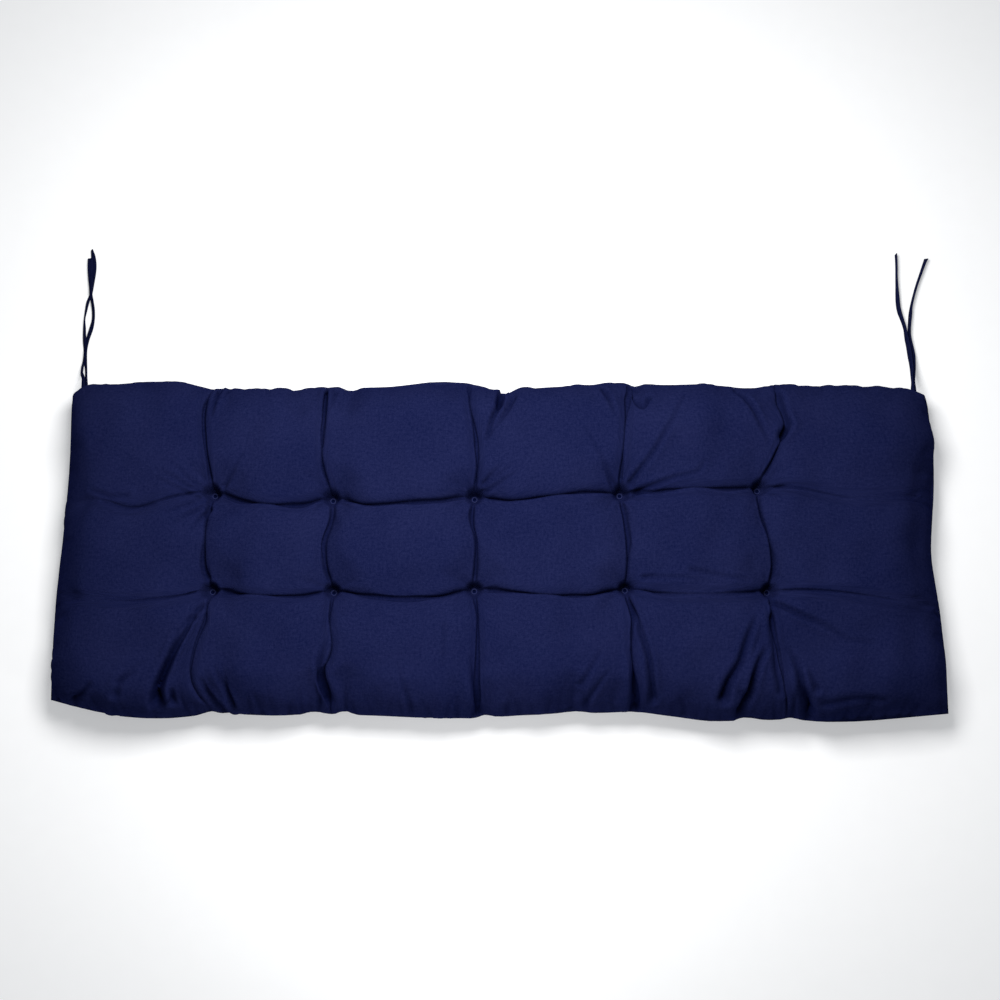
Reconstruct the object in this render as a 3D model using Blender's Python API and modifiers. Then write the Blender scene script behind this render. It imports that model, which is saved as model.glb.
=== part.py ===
"""Tufted bench cushion with two ties, in metres, +Z up.

The cushion lies on its flat underside. +X runs along the bench and +Y to its back edge,
where the ties are sewn in. The origin is on the surface, under the middle of the cushion.

A place on the cushion is counted in fields: u from 0 at the left seam to 6 at the right
one, and v from 0 at the front seam to 3 at the back one. The whole numbers between are
the creases, and the tufts are where two creases cross.
"""

import math

import bmesh
import bpy
from mathutils import Vector

COLLECTION = "bench_cushion"

# Fields between the creases
FIELDS_ACROSS = 6
FIELDS_DEEP = 3
UPPER_QUADS = (16, 12)
LOWER_QUADS = (8, 6)
CREASE_CROWDING = 0.6

# Heights above the surface
SEAM_HEIGHT = 0.038
SEAM_THICKNESS = 0.002
TUFT_HEIGHT = 0.058
TUFT_PAD_RADIUS = 0.0100
TUFT_FUNNEL_RADIUS = 0.0200

# The seam stands out as a narrow lip, given as a share of an outer field
SEAM_LIP = 0.016

# How steeply the filling rises from the seam and from a crease
SEAM_STEEPNESS = 0.40
CREASE_STEEPNESS = 0.42

# Distance, as a share of a field, within which a place counts as on a crease
ON_CREASE = 1e-6

# Underside
UNDERSIDE_CURVE = 0.052
UNDERSIDE_CORNER = 3.0
UNDERSIDE_PIT_DEPTH = 0.015
UNDERSIDE_PIT_RADIUS = 0.034
UNDERSIDE_CREASE_DEPTH = 0.004

# Tacks that hold the tufts
TACK_RADIUS = 0.0045
TACK_HEIGHT = 0.0017
TACK_DISH = 0.0008
TACK_STEPS = 12
GAP = 0.0003

# Ties
TIE_WIDTH = 0.008
TIE_THICKNESS = 0.0013
TIE_POINTS = 30

# X of each line that runs from the front to the back, left seam first. The columns are
# front edge, front field, front tufts, middle field, back tufts, back field, back edge
LINE_X = (
    (-0.608, -0.6097, -0.6097, -0.607, -0.604, -0.603, -0.606),
    (-0.380, -0.425, -0.391, -0.408, -0.393, -0.414, -0.399),
    (-0.228, -0.236, -0.226, -0.239, -0.230, -0.251, -0.245),
    (-0.029, -0.029, -0.035, -0.032, -0.035, -0.037, -0.043),
    (0.187, 0.179, 0.170, 0.176, 0.165, 0.171, 0.184),
    (0.386, 0.380, 0.363, 0.375, 0.355, 0.394, 0.390),
    (0.606, 0.607, 0.603, 0.596, 0.604, 0.610, 0.605),
)

# Y of each line that runs across, at every half field from the left
LINE_Y_ROWS = ("front_edge", "front_tufts", "back_tufts", "back_edge")
LINE_Y = (
    (-0.2075, -0.2335, -0.2285, -0.2305, -0.2285, -0.2320, -0.2300,
     -0.2280, -0.2265, -0.2392, -0.2365, -0.2375, -0.2285),
    (-0.0730, -0.0760, -0.0665, -0.0730, -0.0675, -0.0770, -0.0655,
     -0.0730, -0.0645, -0.0740, -0.0675, -0.0720, -0.0830),
    (0.0430, 0.0475, 0.0675, 0.0560, 0.0605, 0.0595, 0.0625,
     0.0675, 0.0675, 0.0800, 0.0745, 0.0597, 0.0675),
    (0.2290, 0.2395, 0.2255, 0.2280, 0.2305, 0.2335, 0.2345,
     0.2320, 0.2385, 0.2360, 0.2345, 0.2335, 0.2280),
)

# Rounding of the two back corners: u, v, move in x, move in y
CORNER_ROUNDING = (
    (0, 3, 0.003, -0.0105),
    (6, 3, -0.003, -0.0075),
)
CORNER_REACH = 0.035

# Middle height of each piece of crease that runs front to back, for lines 1 to 5. The
# columns are front field, middle field, back field
CREASE_DOWN = (
    (0.085, 0.080, 0.085),
    (0.083, 0.080, 0.083),
    (0.082, 0.080, 0.083),
    (0.080, 0.079, 0.084),
    (0.084, 0.078, 0.080),
)

# Middle height of each piece of crease that runs across, field by field
CREASE_ACROSS = {
    "front_tufts": (0.094, 0.083, 0.082, 0.082, 0.089, 0.090),
    "back_tufts": (0.091, 0.082, 0.083, 0.082, 0.083, 0.095),
}

# Crown height of each field, left to right
CROWNS = {
    "front": (0.099, 0.098, 0.099, 0.099, 0.098, 0.099),
    "middle": (0.099, 0.096, 0.098, 0.098, 0.098, 0.099),
    "back": (0.099, 0.099, 0.101, 0.101, 0.100, 0.099),
}

# Places where the stitching draws the edge in: edge, x, depth, half width
PINCHES = (
    ("back", -0.287, 0.005, 0.014),
    ("back", -0.211, 0.005, 0.014),
    ("back", 0.004, 0.012, 0.016),
    ("back", 0.350, 0.004, 0.030),
    ("front", -0.391, 0.004, 0.014),
    ("front", -0.252, 0.004, 0.014),
    ("front", -0.019, 0.004, 0.014),
    ("front", 0.100, 0.004, 0.020),
    ("front", 0.334, 0.005, 0.014),
)
PINCH_REACH = 0.06

# Main folds beside the creases: start x, y, end x, y, half width, start depth, end depth
FOLDS = (
    (-0.399, -0.088, -0.457, -0.218, 0.013, 0.008, 0.016),
    (-0.392, -0.083, -0.439, -0.141, 0.009, 0.006, 0.002),
    (-0.403, 0.066, -0.467, 0.098, 0.009, 0.005, 0.001),
    (-0.240, -0.140, -0.228, -0.224, 0.013, 0.003, 0.012),
    (-0.038, -0.163, -0.028, -0.230, 0.012, 0.002, 0.010),
    (0.004, 0.216, -0.021, 0.137, 0.013, 0.014, 0.003),
    (-0.026, 0.063, 0.030, 0.097, 0.009, 0.005, 0.001),
    (0.133, -0.150, 0.111, -0.212, 0.012, 0.002, 0.005),
    (0.177, -0.083, 0.206, -0.211, 0.011, 0.006, 0.006),
    (0.178, 0.075, 0.255, 0.203, 0.011, 0.008, 0.003),
    (0.150, 0.088, 0.118, 0.144, 0.010, 0.005, 0.001),
    (0.333, -0.131, 0.284, -0.228, 0.013, 0.005, 0.014),
    (0.356, -0.149, 0.324, -0.230, 0.012, 0.003, 0.012),
    (0.389, -0.148, 0.417, -0.232, 0.012, 0.003, 0.010),
    (0.365, -0.080, 0.498, -0.137, 0.012, 0.009, 0.003),
    (0.327, 0.216, 0.352, 0.177, 0.011, 0.006, 0.003),
    (-0.546, -0.191, -0.576, -0.214, 0.010, 0.002, 0.005),
)

# Strands of the ties: x, y, height of the middle, degrees turned from flat
TIES = {
    "tie_left_a": (
        (-0.5990, 0.2543, 0.0200, 62),
        (-0.6024, 0.2699, 0.0100, 66),
        (-0.6032, 0.2855, 0.0055, 72),
        (-0.6030, 0.3000, 0.0050, 70),
        (-0.6050, 0.3241, 0.0042, 50),
        (-0.6050, 0.3445, 0.0036, 40),
        (-0.6025, 0.3668, 0.0026, 18),
        (-0.5975, 0.3836, 0.0018, 6),
        (-0.5950, 0.4024, 0.0018, 5),
        (-0.5940, 0.4269, 0.0016, 5),
        (-0.5985, 0.4500, 0.0014, 0),
    ),
    "tie_left_b": (
        (-0.5896, 0.2435, 0.0300, 60),
        (-0.5946, 0.2594, 0.0180, 66),
        (-0.5972, 0.2781, 0.0080, 72),
        (-0.5980, 0.2949, 0.0055, 70),
        (-0.5935, 0.3241, 0.0042, 45),
        (-0.5910, 0.3482, 0.0042, 35),
        (-0.5935, 0.3705, 0.0064, 16),
        (-0.5990, 0.3893, 0.0062, 8),
        (-0.6000, 0.4080, 0.0056, 5),
        (-0.6020, 0.4269, 0.0050, 5),
        (-0.6030, 0.4397, 0.0046, 5),
    ),
    "tie_right_a": (
        (0.5868, 0.2448, 0.0260, 75),
        (0.5900, 0.2781, 0.0085, 68),
        (0.5898, 0.2945, 0.0055, 68),
        (0.5870, 0.3165, 0.0048, 62),
        (0.5860, 0.3290, 0.0048, 60),
        (0.5800, 0.3520, 0.0042, 48),
        (0.5790, 0.3706, 0.0036, 38),
        (0.5795, 0.3902, 0.0040, 50),
        (0.5800, 0.4181, 0.0048, 80),
        (0.5805, 0.4468, 0.0044, 62),
    ),
    "tie_right_b": (
        (0.5905, 0.2448, 0.0265, 75),
        (0.5955, 0.2781, 0.0090, 62),
        (0.5965, 0.2945, 0.0060, 60),
        (0.5935, 0.3165, 0.0050, 58),
        (0.5935, 0.3290, 0.0046, 55),
        (0.5970, 0.3520, 0.0044, 50),
        (0.6010, 0.3706, 0.0048, 78),
        (0.6050, 0.3817, 0.0048, 80),
        (0.6180, 0.4156, 0.0042, 60),
        (0.6255, 0.4385, 0.0042, 55),
    ),
}

# Where each strand leaves the seam: x, distance behind the seam, degrees turned from flat
TIE_ROOTS = {
    "tie_left_a": (-0.5912, 0.0010, 50),
    "tie_left_b": (-0.5862, 0.0008, 50),
    "tie_right_a": (0.5836, 0.0014, 72),
    "tie_right_b": (0.5876, 0.0014, 72),
}

# Finishes: base colour, roughness
COVER_FINISH = ((0.0105, 0.0140, 0.0570, 1.0), 0.62)
THREAD_FINISH = ((0.0130, 0.0170, 0.0640, 1.0), 0.50)
TIE_FINISH = ((0.0100, 0.0130, 0.0520, 1.0), 0.60)


def smooth_between(values, place):
    """The smooth curve through the values, at a place counted in steps along them."""
    index = min(int(place), len(values) - 2)
    part = place - index
    start, end = values[index], values[index + 1]
    before = values[index - 1] if index > 0 else 2 * start - end
    after = values[index + 2] if index + 2 < len(values) else 2 * end - start
    slope_in = 0.5 * (end - before)
    slope_out = 0.5 * (after - start)
    rest = 1 - part
    return (start * (1 + 2 * part) * rest ** 2 + slope_in * part * rest ** 2
            + end * part ** 2 * (3 - 2 * part) - slope_out * part ** 2 * rest)


def fade(share):
    """Falls smoothly from 1 at 0 to 0 at 1 and beyond."""
    if share >= 1:
        return 0.0
    return (1 - share ** 2) ** 2


def field_stations(fields, quads):
    """Places along one direction, crowded at the creases, with the seam's lip."""
    places = [0.0, SEAM_LIP]
    for field in range(fields):
        for step in range(1, quads):
            even = step / quads
            crowded = (1 - math.cos(math.pi * even)) / 2
            places.append(field + even * (1 - CREASE_CROWDING) + crowded * CREASE_CROWDING)
        if field < fields - 1:
            places.append(field + 1.0)
    places.append(fields - SEAM_LIP)
    places.append(float(fields))
    return places


def field_of(place, fields):
    """The field that a place lies in, and the share of the way through it."""
    index = min(int(place), fields - 1)
    return index, place - index


def corner_move(u, v, x, y):
    """How far a place near a back corner is moved to round the corner off."""
    move_x = move_y = 0.0
    for corner_u, corner_v, dx, dy in CORNER_ROUNDING:
        column = LINE_X[corner_u][2 * corner_v]
        row = LINE_Y[corner_v][2 * corner_u]
        along = min(abs(x - column) / CORNER_REACH, 1)
        inward = min(abs(y - row) / CORNER_REACH, 1)
        weight = (1 - along) ** 2 * (1 - inward) ** 2
        move_x += dx * weight
        move_y += dy * weight
    return move_x, move_y


def pinch_move(x, y, front, back):
    """How far the stitching draws a place in towards the middle of the cushion."""
    move = 0.0
    for edge, centre, depth, half_width in PINCHES:
        line, inward = (back, -1) if edge == "back" else (front, 1)
        reach = fade(abs(y - line) / PINCH_REACH)
        move += inward * depth * math.exp(-((x - centre) / half_width) ** 2) * reach
    return move


def plan_place(u, v):
    """X and Y of a place on the cushion."""
    column, across = field_of(u, FIELDS_ACROSS)
    row, deep = field_of(v, FIELDS_DEEP)
    left = smooth_between(LINE_X[column], 2 * v)
    right = smooth_between(LINE_X[column + 1], 2 * v)
    near = smooth_between(LINE_Y[row], 2 * u)
    far = smooth_between(LINE_Y[row + 1], 2 * u)
    x = left + (right - left) * across
    y = near + (far - near) * deep
    front = smooth_between(LINE_Y[0], 2 * u)
    back = smooth_between(LINE_Y[FIELDS_DEEP], 2 * u)
    move_x, move_y = corner_move(u, v, x, y)
    return x + move_x, y + move_y + pinch_move(x, y, front, back)


def steepness(line, last_line):
    return SEAM_STEEPNESS if line in (0, last_line) else CREASE_STEEPNESS


def rise(share, field, fields):
    """Rise of the filling across a field: 0 at its two lines and 1 at its middle."""
    start = SEAM_LIP if field == 0 else 0.0
    end = 1 - SEAM_LIP if field == fields - 1 else 1.0
    part = min(max((share - start) / (end - start), 0.0), 1.0)
    near = steepness(field, fields)
    far = steepness(field + 1, fields)
    middle = 0.5 ** near * 0.5 ** far
    return part ** near * (1 - part) ** far / middle


def knot_height(line_u, line_v):
    """Height where two lines cross: the seam's at the edge, or else a tuft's."""
    on_seam = line_u in (0, FIELDS_ACROSS) or line_v in (0, FIELDS_DEEP)
    return SEAM_HEIGHT + SEAM_THICKNESS / 2 if on_seam else TUFT_HEIGHT


def crease_height(start, end, middle, share, field, fields):
    """Height along one piece of crease or seam, from knot to knot."""
    level = start + (end - start) * share
    if middle is None:
        return level
    return level + (middle - (start + end) / 2) * rise(share, field, fields)


def down_middle(line, row):
    return None if line in (0, FIELDS_ACROSS) else CREASE_DOWN[line - 1][row]


def across_middle(line, column):
    if line in (0, FIELDS_DEEP):
        return None
    return CREASE_ACROSS[LINE_Y_ROWS[line]][column]


def valley_height(column, row, across, deep):
    """Height of the sheet that hangs between the four creases round a field."""
    total = weights = 0.0
    for side in (0, 1):
        crossing = crease_height(knot_height(column + side, row),
                                 knot_height(column + side, row + 1),
                                 down_middle(column + side, row), deep, row, FIELDS_DEEP)
        running = crease_height(knot_height(column, row + side),
                                knot_height(column + 1, row + side),
                                across_middle(row + side, column), across, column,
                                FIELDS_ACROSS)
        for height, away in ((crossing, abs(across - side)), (running, abs(deep - side))):
            weight = 1 / (away + ON_CREASE) ** 2
            total += weight * height
            weights += weight
    return total / weights


def tuft_places():
    """The tufts by name, with their place on the plan."""
    places = {}
    for row_name, line in (("front", 1), ("back", 2)):
        for number in range(1, FIELDS_ACROSS):
            places[f"{row_name}_{number}"] = plan_place(number, line)
    return places


def top_height(u, v, x, y, tufts):
    """Height of the upper panel, before the folds."""
    column, across = field_of(u, FIELDS_ACROSS)
    row, deep = field_of(v, FIELDS_DEEP)
    valley = valley_height(column, row, across, deep)
    crown = tuple(CROWNS.values())[row][column]
    swell = rise(across, column, FIELDS_ACROSS) * rise(deep, row, FIELDS_DEEP)
    height = valley + (crown - valley) * swell
    nearest = min(math.dist((x, y), place) for place in tufts.values())
    if nearest < TUFT_FUNNEL_RADIUS:
        share = max(nearest - TUFT_PAD_RADIUS, 0) / (TUFT_FUNNEL_RADIUS - TUFT_PAD_RADIUS)
        height = TUFT_HEIGHT + (height - TUFT_HEIGHT) * (1 - fade(share))
    return height


def edge_distances(u, v, x, y):
    """Distance of a place from the nearer side seam, and from the front or back seam."""
    left, _ = plan_place(0, v)
    right, _ = plan_place(FIELDS_ACROSS, v)
    _, front = plan_place(u, 0)
    _, back = plan_place(u, FIELDS_DEEP)
    return min(x - left, right - x), min(y - front, back - y)


def underside_height(u, v, x, y, tufts):
    """Height of the lower panel: flat, curved up to the seam, with pits and creases."""
    side, end = edge_distances(u, v, x, y)
    shares = [max(1 - distance / UNDERSIDE_CURVE, 0) for distance in (side, end)]
    share = min(sum(part ** UNDERSIDE_CORNER for part in shares) ** (1 / UNDERSIDE_CORNER), 1)
    height = (SEAM_HEIGHT - SEAM_THICKNESS / 2) * (1 - math.sqrt(1 - share ** 2))
    for place in tufts.values():
        height += UNDERSIDE_PIT_DEPTH * fade(math.dist((x, y), place) / UNDERSIDE_PIT_RADIUS)
    beside_line = [abs(place - round(place)) for place in (u, v)]
    on_crease = 0 < round(u) < FIELDS_ACROSS and beside_line[0] < SEAM_LIP
    on_crease = on_crease or 0 < round(v) < FIELDS_DEEP and beside_line[1] < SEAM_LIP
    if on_crease:
        height += UNDERSIDE_CREASE_DEPTH * (1 - share)
    return height


def fold_depth(x, y):
    """Depth of the main folds at a place on the plan."""
    depth = 0.0
    for x1, y1, x2, y2, half_width, start_depth, end_depth in FOLDS:
        run = Vector((x2 - x1, y2 - y1))
        place = Vector((x - x1, y - y1))
        along = min(max(place.dot(run) / run.length_squared, 0), 1)
        away = (place - run * along).length
        local = start_depth + (end_depth - start_depth) * along
        depth += local * math.exp(-(away / half_width) ** 2)
    return depth


def new_material(name, finish):
    colour, roughness = finish
    material = bpy.data.materials.new(name)
    material.use_nodes = True
    shader = material.node_tree.nodes["Principled BSDF"]
    shader.inputs["Base Color"].default_value = colour
    shader.inputs["Roughness"].default_value = roughness
    shader.inputs["Metallic"].default_value = 0.0
    return material


def add_object(name, data, material, collection):
    data.materials.append(material)
    thing = bpy.data.objects.new(name, data)
    collection.objects.link(thing)
    return thing


def panel(mesh, quads_a_field, height_at):
    """One panel as a grid whose points stand at the stations of its fields."""
    stations_u = field_stations(FIELDS_ACROSS, quads_a_field[0])
    stations_v = field_stations(FIELDS_DEEP, quads_a_field[1])
    quads_u = len(stations_u) - 1
    quads_v = len(stations_v) - 1
    grid = bmesh.ops.create_grid(mesh, x_segments=quads_u, y_segments=quads_v, size=1)
    for vert in grid["verts"]:
        u = stations_u[round((vert.co.x + 1) / 2 * quads_u)]
        v = stations_v[round((vert.co.y + 1) / 2 * quads_v)]
        x, y = plan_place(u, v)
        vert.co = (x, y, height_at(u, v, x, y))
    return grid["verts"]


def press_folds(mesh, verts, tufts):
    """Presses the main folds into the upper panel, along its own normals."""
    mesh.normal_update()
    moves = []
    for vert in verts:
        near_tuft = min(math.dist(vert.co.xy, place) for place in tufts.values())
        kept = fade(max(near_tuft - TUFT_PAD_RADIUS, 0) / TUFT_PAD_RADIUS)
        depth = 0.0 if vert.is_boundary else fold_depth(vert.co.x, vert.co.y) * (1 - kept)
        moves.append(vert.normal * -depth)
    for vert, move in zip(verts, moves):
        vert.co += move


def build_cushion(collection):
    """The cover with its filling: two panels sewn together round the edge."""
    tufts = tuft_places()
    body = bmesh.new()
    top = panel(body, UPPER_QUADS, lambda u, v, x, y: top_height(u, v, x, y, tufts))
    press_folds(body, top, tufts)
    panel(body, LOWER_QUADS, lambda u, v, x, y: underside_height(u, v, x, y, tufts))
    rims = [edge for edge in body.edges if edge.is_boundary]
    bmesh.ops.bridge_loops(body, edges=rims)
    bmesh.ops.recalc_face_normals(body, faces=body.faces)
    data = bpy.data.meshes.new("cushion")
    body.to_mesh(data)
    body.free()
    data.shade_smooth()
    return add_object("cushion", data, new_material("cover", COVER_FINISH), collection)


def tack_profile():
    """Half section of a tack, from its dished middle over the rim to its base."""
    return (
        (0.0, TACK_HEIGHT - TACK_DISH),
        (TACK_RADIUS * 0.55, TACK_HEIGHT - TACK_DISH * 0.8),
        (TACK_RADIUS * 0.78, TACK_HEIGHT),
        (TACK_RADIUS, TACK_HEIGHT * 0.45),
        (TACK_RADIUS * 0.92, 0.0),
        (0.0, 0.0),
    )


def build_tacks(collection):
    """The round bars of thread that hold the tufts down."""
    material = new_material("tack", THREAD_FINISH)
    profile = tack_profile()
    data = bpy.data.meshes.new("tack")
    edges = [(index, index + 1) for index in range(len(profile) - 1)]
    data.from_pydata([(radius, 0, height) for radius, height in profile], edges, [])
    data.materials.append(material)
    for place_name, (x, y) in tuft_places().items():
        tack = bpy.data.objects.new(f"tack_{place_name}", data)
        tack.location = (x, y, TUFT_HEIGHT + GAP)
        collection.objects.link(tack)
        turn = tack.modifiers.new("turn", "SCREW")
        turn.axis = "Z"
        turn.angle = math.tau
        turn.steps = TACK_STEPS
        turn.render_steps = TACK_STEPS
        turn.use_merge_vertices = True
        turn.merge_threshold = 0.00001
        turn.use_smooth_shade = True


def back_seam_y(x):
    """Y of the back seam at a given X."""
    low, high = 0.0, float(FIELDS_ACROSS)
    for _ in range(40):
        middle = (low + high) / 2
        if plan_place(middle, FIELDS_DEEP)[0] < x:
            low = middle
        else:
            high = middle
    return plan_place(low, FIELDS_DEEP)[1]


def build_tie(name, rows, material, collection):
    """One flat strand, from the seam over the edge and along the surface."""
    root_x, behind, root_turn = TIE_ROOTS[name]
    root = (root_x, back_seam_y(root_x) + behind, SEAM_HEIGHT, root_turn)
    columns = list(zip(root, *rows))
    data = bpy.data.curves.new(name, "CURVE")
    data.dimensions = "3D"
    data.twist_mode = "Z_UP"
    data.fill_mode = "FULL"
    data.use_fill_caps = True
    data.extrude = (TIE_WIDTH - TIE_THICKNESS) / 2
    data.bevel_depth = TIE_THICKNESS / 2
    data.bevel_resolution = 0
    spline = data.splines.new("POLY")
    spline.points.add(TIE_POINTS - 1)
    for index, point in enumerate(spline.points):
        place = index / (TIE_POINTS - 1) * len(rows)
        x, y, z, turn = (smooth_between(column, place) for column in columns)
        point.co = (x, y, z, 1)
        point.tilt = math.radians(90 - turn)
    return add_object(name, data, material, collection)


def build_ties(collection):
    material = new_material("tie", TIE_FINISH)
    for name, rows in TIES.items():
        build_tie(name, rows, material, collection)


def main():
    for thing in list(bpy.data.objects):
        bpy.data.objects.remove(thing)
    collection = bpy.data.collections.new(COLLECTION)
    bpy.context.scene.collection.children.link(collection)
    build_cushion(collection)
    build_tacks(collection)
    build_ties(collection)


main()
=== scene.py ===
"""Looks of the tufted bench cushion: its cover, tufts and ties, the floor, light and camera."""

import math
import random

import bmesh
import bpy
import numpy as np
from mathutils import Matrix, Vector


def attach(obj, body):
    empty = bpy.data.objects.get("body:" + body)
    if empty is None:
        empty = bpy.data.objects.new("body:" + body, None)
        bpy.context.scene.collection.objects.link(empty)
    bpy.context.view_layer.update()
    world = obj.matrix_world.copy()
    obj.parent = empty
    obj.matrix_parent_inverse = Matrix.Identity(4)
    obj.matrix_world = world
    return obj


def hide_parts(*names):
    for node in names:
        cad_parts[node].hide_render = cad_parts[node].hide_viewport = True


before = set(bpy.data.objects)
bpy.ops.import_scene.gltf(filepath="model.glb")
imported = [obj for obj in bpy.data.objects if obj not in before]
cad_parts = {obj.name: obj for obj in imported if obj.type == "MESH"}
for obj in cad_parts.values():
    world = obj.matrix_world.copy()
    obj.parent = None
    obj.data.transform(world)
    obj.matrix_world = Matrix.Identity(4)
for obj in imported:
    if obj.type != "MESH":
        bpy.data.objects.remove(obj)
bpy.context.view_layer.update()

# Fields between the creases, quads of each field before the one subdivision, and how far
# they crowd at the creases. Each line of the plan is given at four places a field
FIELDS_ACROSS = 6
FIELDS_DEEP = 3
UPPER_QUADS = (38, 30)
LOWER_QUADS = (12, 9)
CREASE_CROWDING = 0.7
LINE_STEPS = 4
MARKS = ("upper", "fields_across", "fields_deep")
PAINTED_SHADE_MASK = "painted_shade_mask"

# Heights above the surface, radii round a tuft, the lip of the seam as a share of a field,
# and how the filling rises from each kind of line: the lower the number, the steeper
SEAM_HEIGHT = 0.038
SEAM_THICKNESS = 0.002
TUFT_HEIGHT = 0.058
TUFT_PAD_RADIUS = 0.0052
TUFT_FUNNEL_RADIUS = 0.0105
SEAM_LIP = 0.005
SEAM_STEEPNESS = 0.36
CREASE_STEEPNESS = 0.35
VALLEY_STEEPNESS = 0.28

# Square of the distance, as a share of a field, within which a place counts as on a crease
ON_CREASE = 1e-12

# Underside: width of the curve up to the seam and how square its corners are, then the pits
# and the creases
UNDERSIDE_CURVE = 0.052
UNDERSIDE_CORNER = 3.0
UNDERSIDE_PIT_DEPTH = 0.015
UNDERSIDE_PIT_RADIUS = 0.034
UNDERSIDE_CREASE_DEPTH = 0.004
UNDERSIDE_CREASE_HALF_WIDTH = 0.006

# X of each line that runs from the front to the back, at every quarter field from the
# front edge. Left seam first, then the five lines of tufts, then the right seam
LINE_X = (
    (-0.6080, -0.6090, -0.6097, -0.6100, -0.6097, -0.6085, -0.6070,
     -0.6055, -0.6040, -0.6030, -0.6030, -0.6045, -0.6060),
    (-0.3900, -0.4100, -0.4060, -0.3940, -0.3910, -0.4000, -0.3990,
     -0.3975, -0.3930, -0.3985, -0.4050, -0.4070, -0.3980),
    (-0.2270, -0.2370, -0.2240, -0.2270, -0.2260, -0.2350, -0.2370,
     -0.2290, -0.2300, -0.2415, -0.2440, -0.2420, -0.2420),
    (-0.0290, -0.0300, -0.0300, -0.0300, -0.0350, -0.0330, -0.0330,
     -0.0385, -0.0350, -0.0310, -0.0345, -0.0420, -0.0420),
    (0.1850, 0.1800, 0.1750, 0.1770, 0.1700, 0.1720, 0.1730,
     0.1700, 0.1650, 0.1670, 0.1710, 0.1760, 0.1830),
    (0.3850, 0.3780, 0.3705, 0.3640, 0.3630, 0.3690, 0.3630,
     0.3545, 0.3550, 0.3740, 0.3890, 0.3820, 0.3850),
    (0.6060, 0.6065, 0.6070, 0.6050, 0.6030, 0.5990, 0.5960,
     0.5990, 0.6040, 0.6070, 0.6075, 0.6050, 0.6035),
)

# Y of each line that runs across, at every quarter field from the left
LINE_Y_ROWS = ("front_edge", "front_tufts", "back_tufts", "back_edge")
LINE_Y = (
    (-0.2105, -0.2245, -0.2340, -0.2350, -0.2300, -0.2300, -0.2315, -0.2305, -0.2295,
     -0.2315, -0.2335, -0.2350, -0.2350, -0.2315, -0.2295, -0.2285, -0.2270, -0.2330,
     -0.2392, -0.2380, -0.2375, -0.2400, -0.2390, -0.2340, -0.2290),
    (-0.0750, -0.0800, -0.0845, -0.0800, -0.0665, -0.0730, -0.0765, -0.0755, -0.0675,
     -0.0755, -0.0805, -0.0770, -0.0655, -0.0705, -0.0755, -0.0750, -0.0645, -0.0735,
     -0.0750, -0.0730, -0.0675, -0.0695, -0.0760, -0.0850, -0.0880),
    (0.0400, 0.0560, 0.0430, 0.0565, 0.0675, 0.0545, 0.0490, 0.0490, 0.0605,
     0.0490, 0.0515, 0.0545, 0.0625, 0.0550, 0.0605, 0.0660, 0.0675, 0.0670,
     0.0710, 0.0705, 0.0745, 0.0670, 0.0560, 0.0600, 0.0675),
    (0.2290, 0.2345, 0.2395, 0.2390, 0.2265, 0.2265, 0.2275, 0.2290, 0.2305,
     0.2305, 0.2335, 0.2395, 0.2375, 0.2300, 0.2315, 0.2350, 0.2385, 0.2350,
     0.2360, 0.2345, 0.2345, 0.2330, 0.2325, 0.2295, 0.2275),
)

# Rounding of the two back corners: u, v, move in x, move in y
CORNER_ROUNDING = (
    (0, 3, 0.003, -0.0105),
    (6, 3, -0.003, -0.0075),
)
CORNER_REACH = 0.035

# Middle height of each piece of crease that runs front to back, for lines 1 to 5. The
# columns are front field, middle field, back field
CREASE_DOWN = (
    (0.086, 0.083, 0.087),
    (0.086, 0.083, 0.085),
    (0.085, 0.083, 0.085),
    (0.083, 0.082, 0.087),
    (0.087, 0.081, 0.083),
)

# Middle height of each piece of crease that runs across, field by field
CREASE_ACROSS = {
    "front_tufts": (0.0960, 0.087, 0.086, 0.086, 0.091, 0.0925),
    "back_tufts": (0.0955, 0.086, 0.086, 0.086, 0.087, 0.0960),
}

# Crown height of each field, left to right
CROWNS = {
    "front": (0.095, 0.094, 0.095, 0.095, 0.094, 0.095),
    "middle": (0.095, 0.092, 0.094, 0.094, 0.094, 0.095),
    "back": (0.095, 0.095, 0.097, 0.097, 0.096, 0.095),
}

# Places where the stitching draws the edge in: edge, x, depth, half width
PINCHES = (
    ("back", -0.287, 0.005, 0.012),
    ("back", -0.211, 0.005, 0.012),
    ("back", 0.004, 0.006, 0.030),
    ("back", 0.008, 0.008, 0.010),
    ("back", 0.191, 0.006, 0.010),
    ("back", 0.350, 0.004, 0.030),
    ("front", -0.391, 0.004, 0.012),
    ("front", -0.364, 0.003, 0.008),
    ("front", -0.252, 0.005, 0.010),
    ("front", -0.210, 0.005, 0.010),
    ("front", -0.019, 0.004, 0.010),
    ("front", 0.100, 0.004, 0.018),
    ("front", 0.334, 0.006, 0.012),
    ("front", 0.393, 0.004, 0.010),
)
PINCH_REACH = 0.06

# Share of the outer fields over which the creases that run across open out, left and right
OPEN_ACROSS = {"front_tufts": (0.65, 0.85), "back_tufts": (0.85, 0.75)}

# Small dents between the stitches of the seam: spacing, depth, half width
DENT_SPACING = (0.016, 0.045)
DENT_DEPTH = (0.0002, 0.0011)
DENT_HALF_WIDTH = (0.004, 0.008)
DENT_SEED = 3

# Height above the seam over which the folds come in, and the distance from a tuft's pad
# over which a crease does
RELIEF_START = 0.004
CREASE_START = 0.014

# Narrow crease along each line of tufts: depth, rise of the ply that laps over it, and
# half width. The lap's offset and the crease's reach are counted in half widths
CREASE_GROOVE = 0.0065
CREASE_LAP = 0.0010
CREASE_HALF_WIDTH = 0.0016
CREASE_LAP_OFFSET = 2.4
CREASE_REACH = 6

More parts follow.
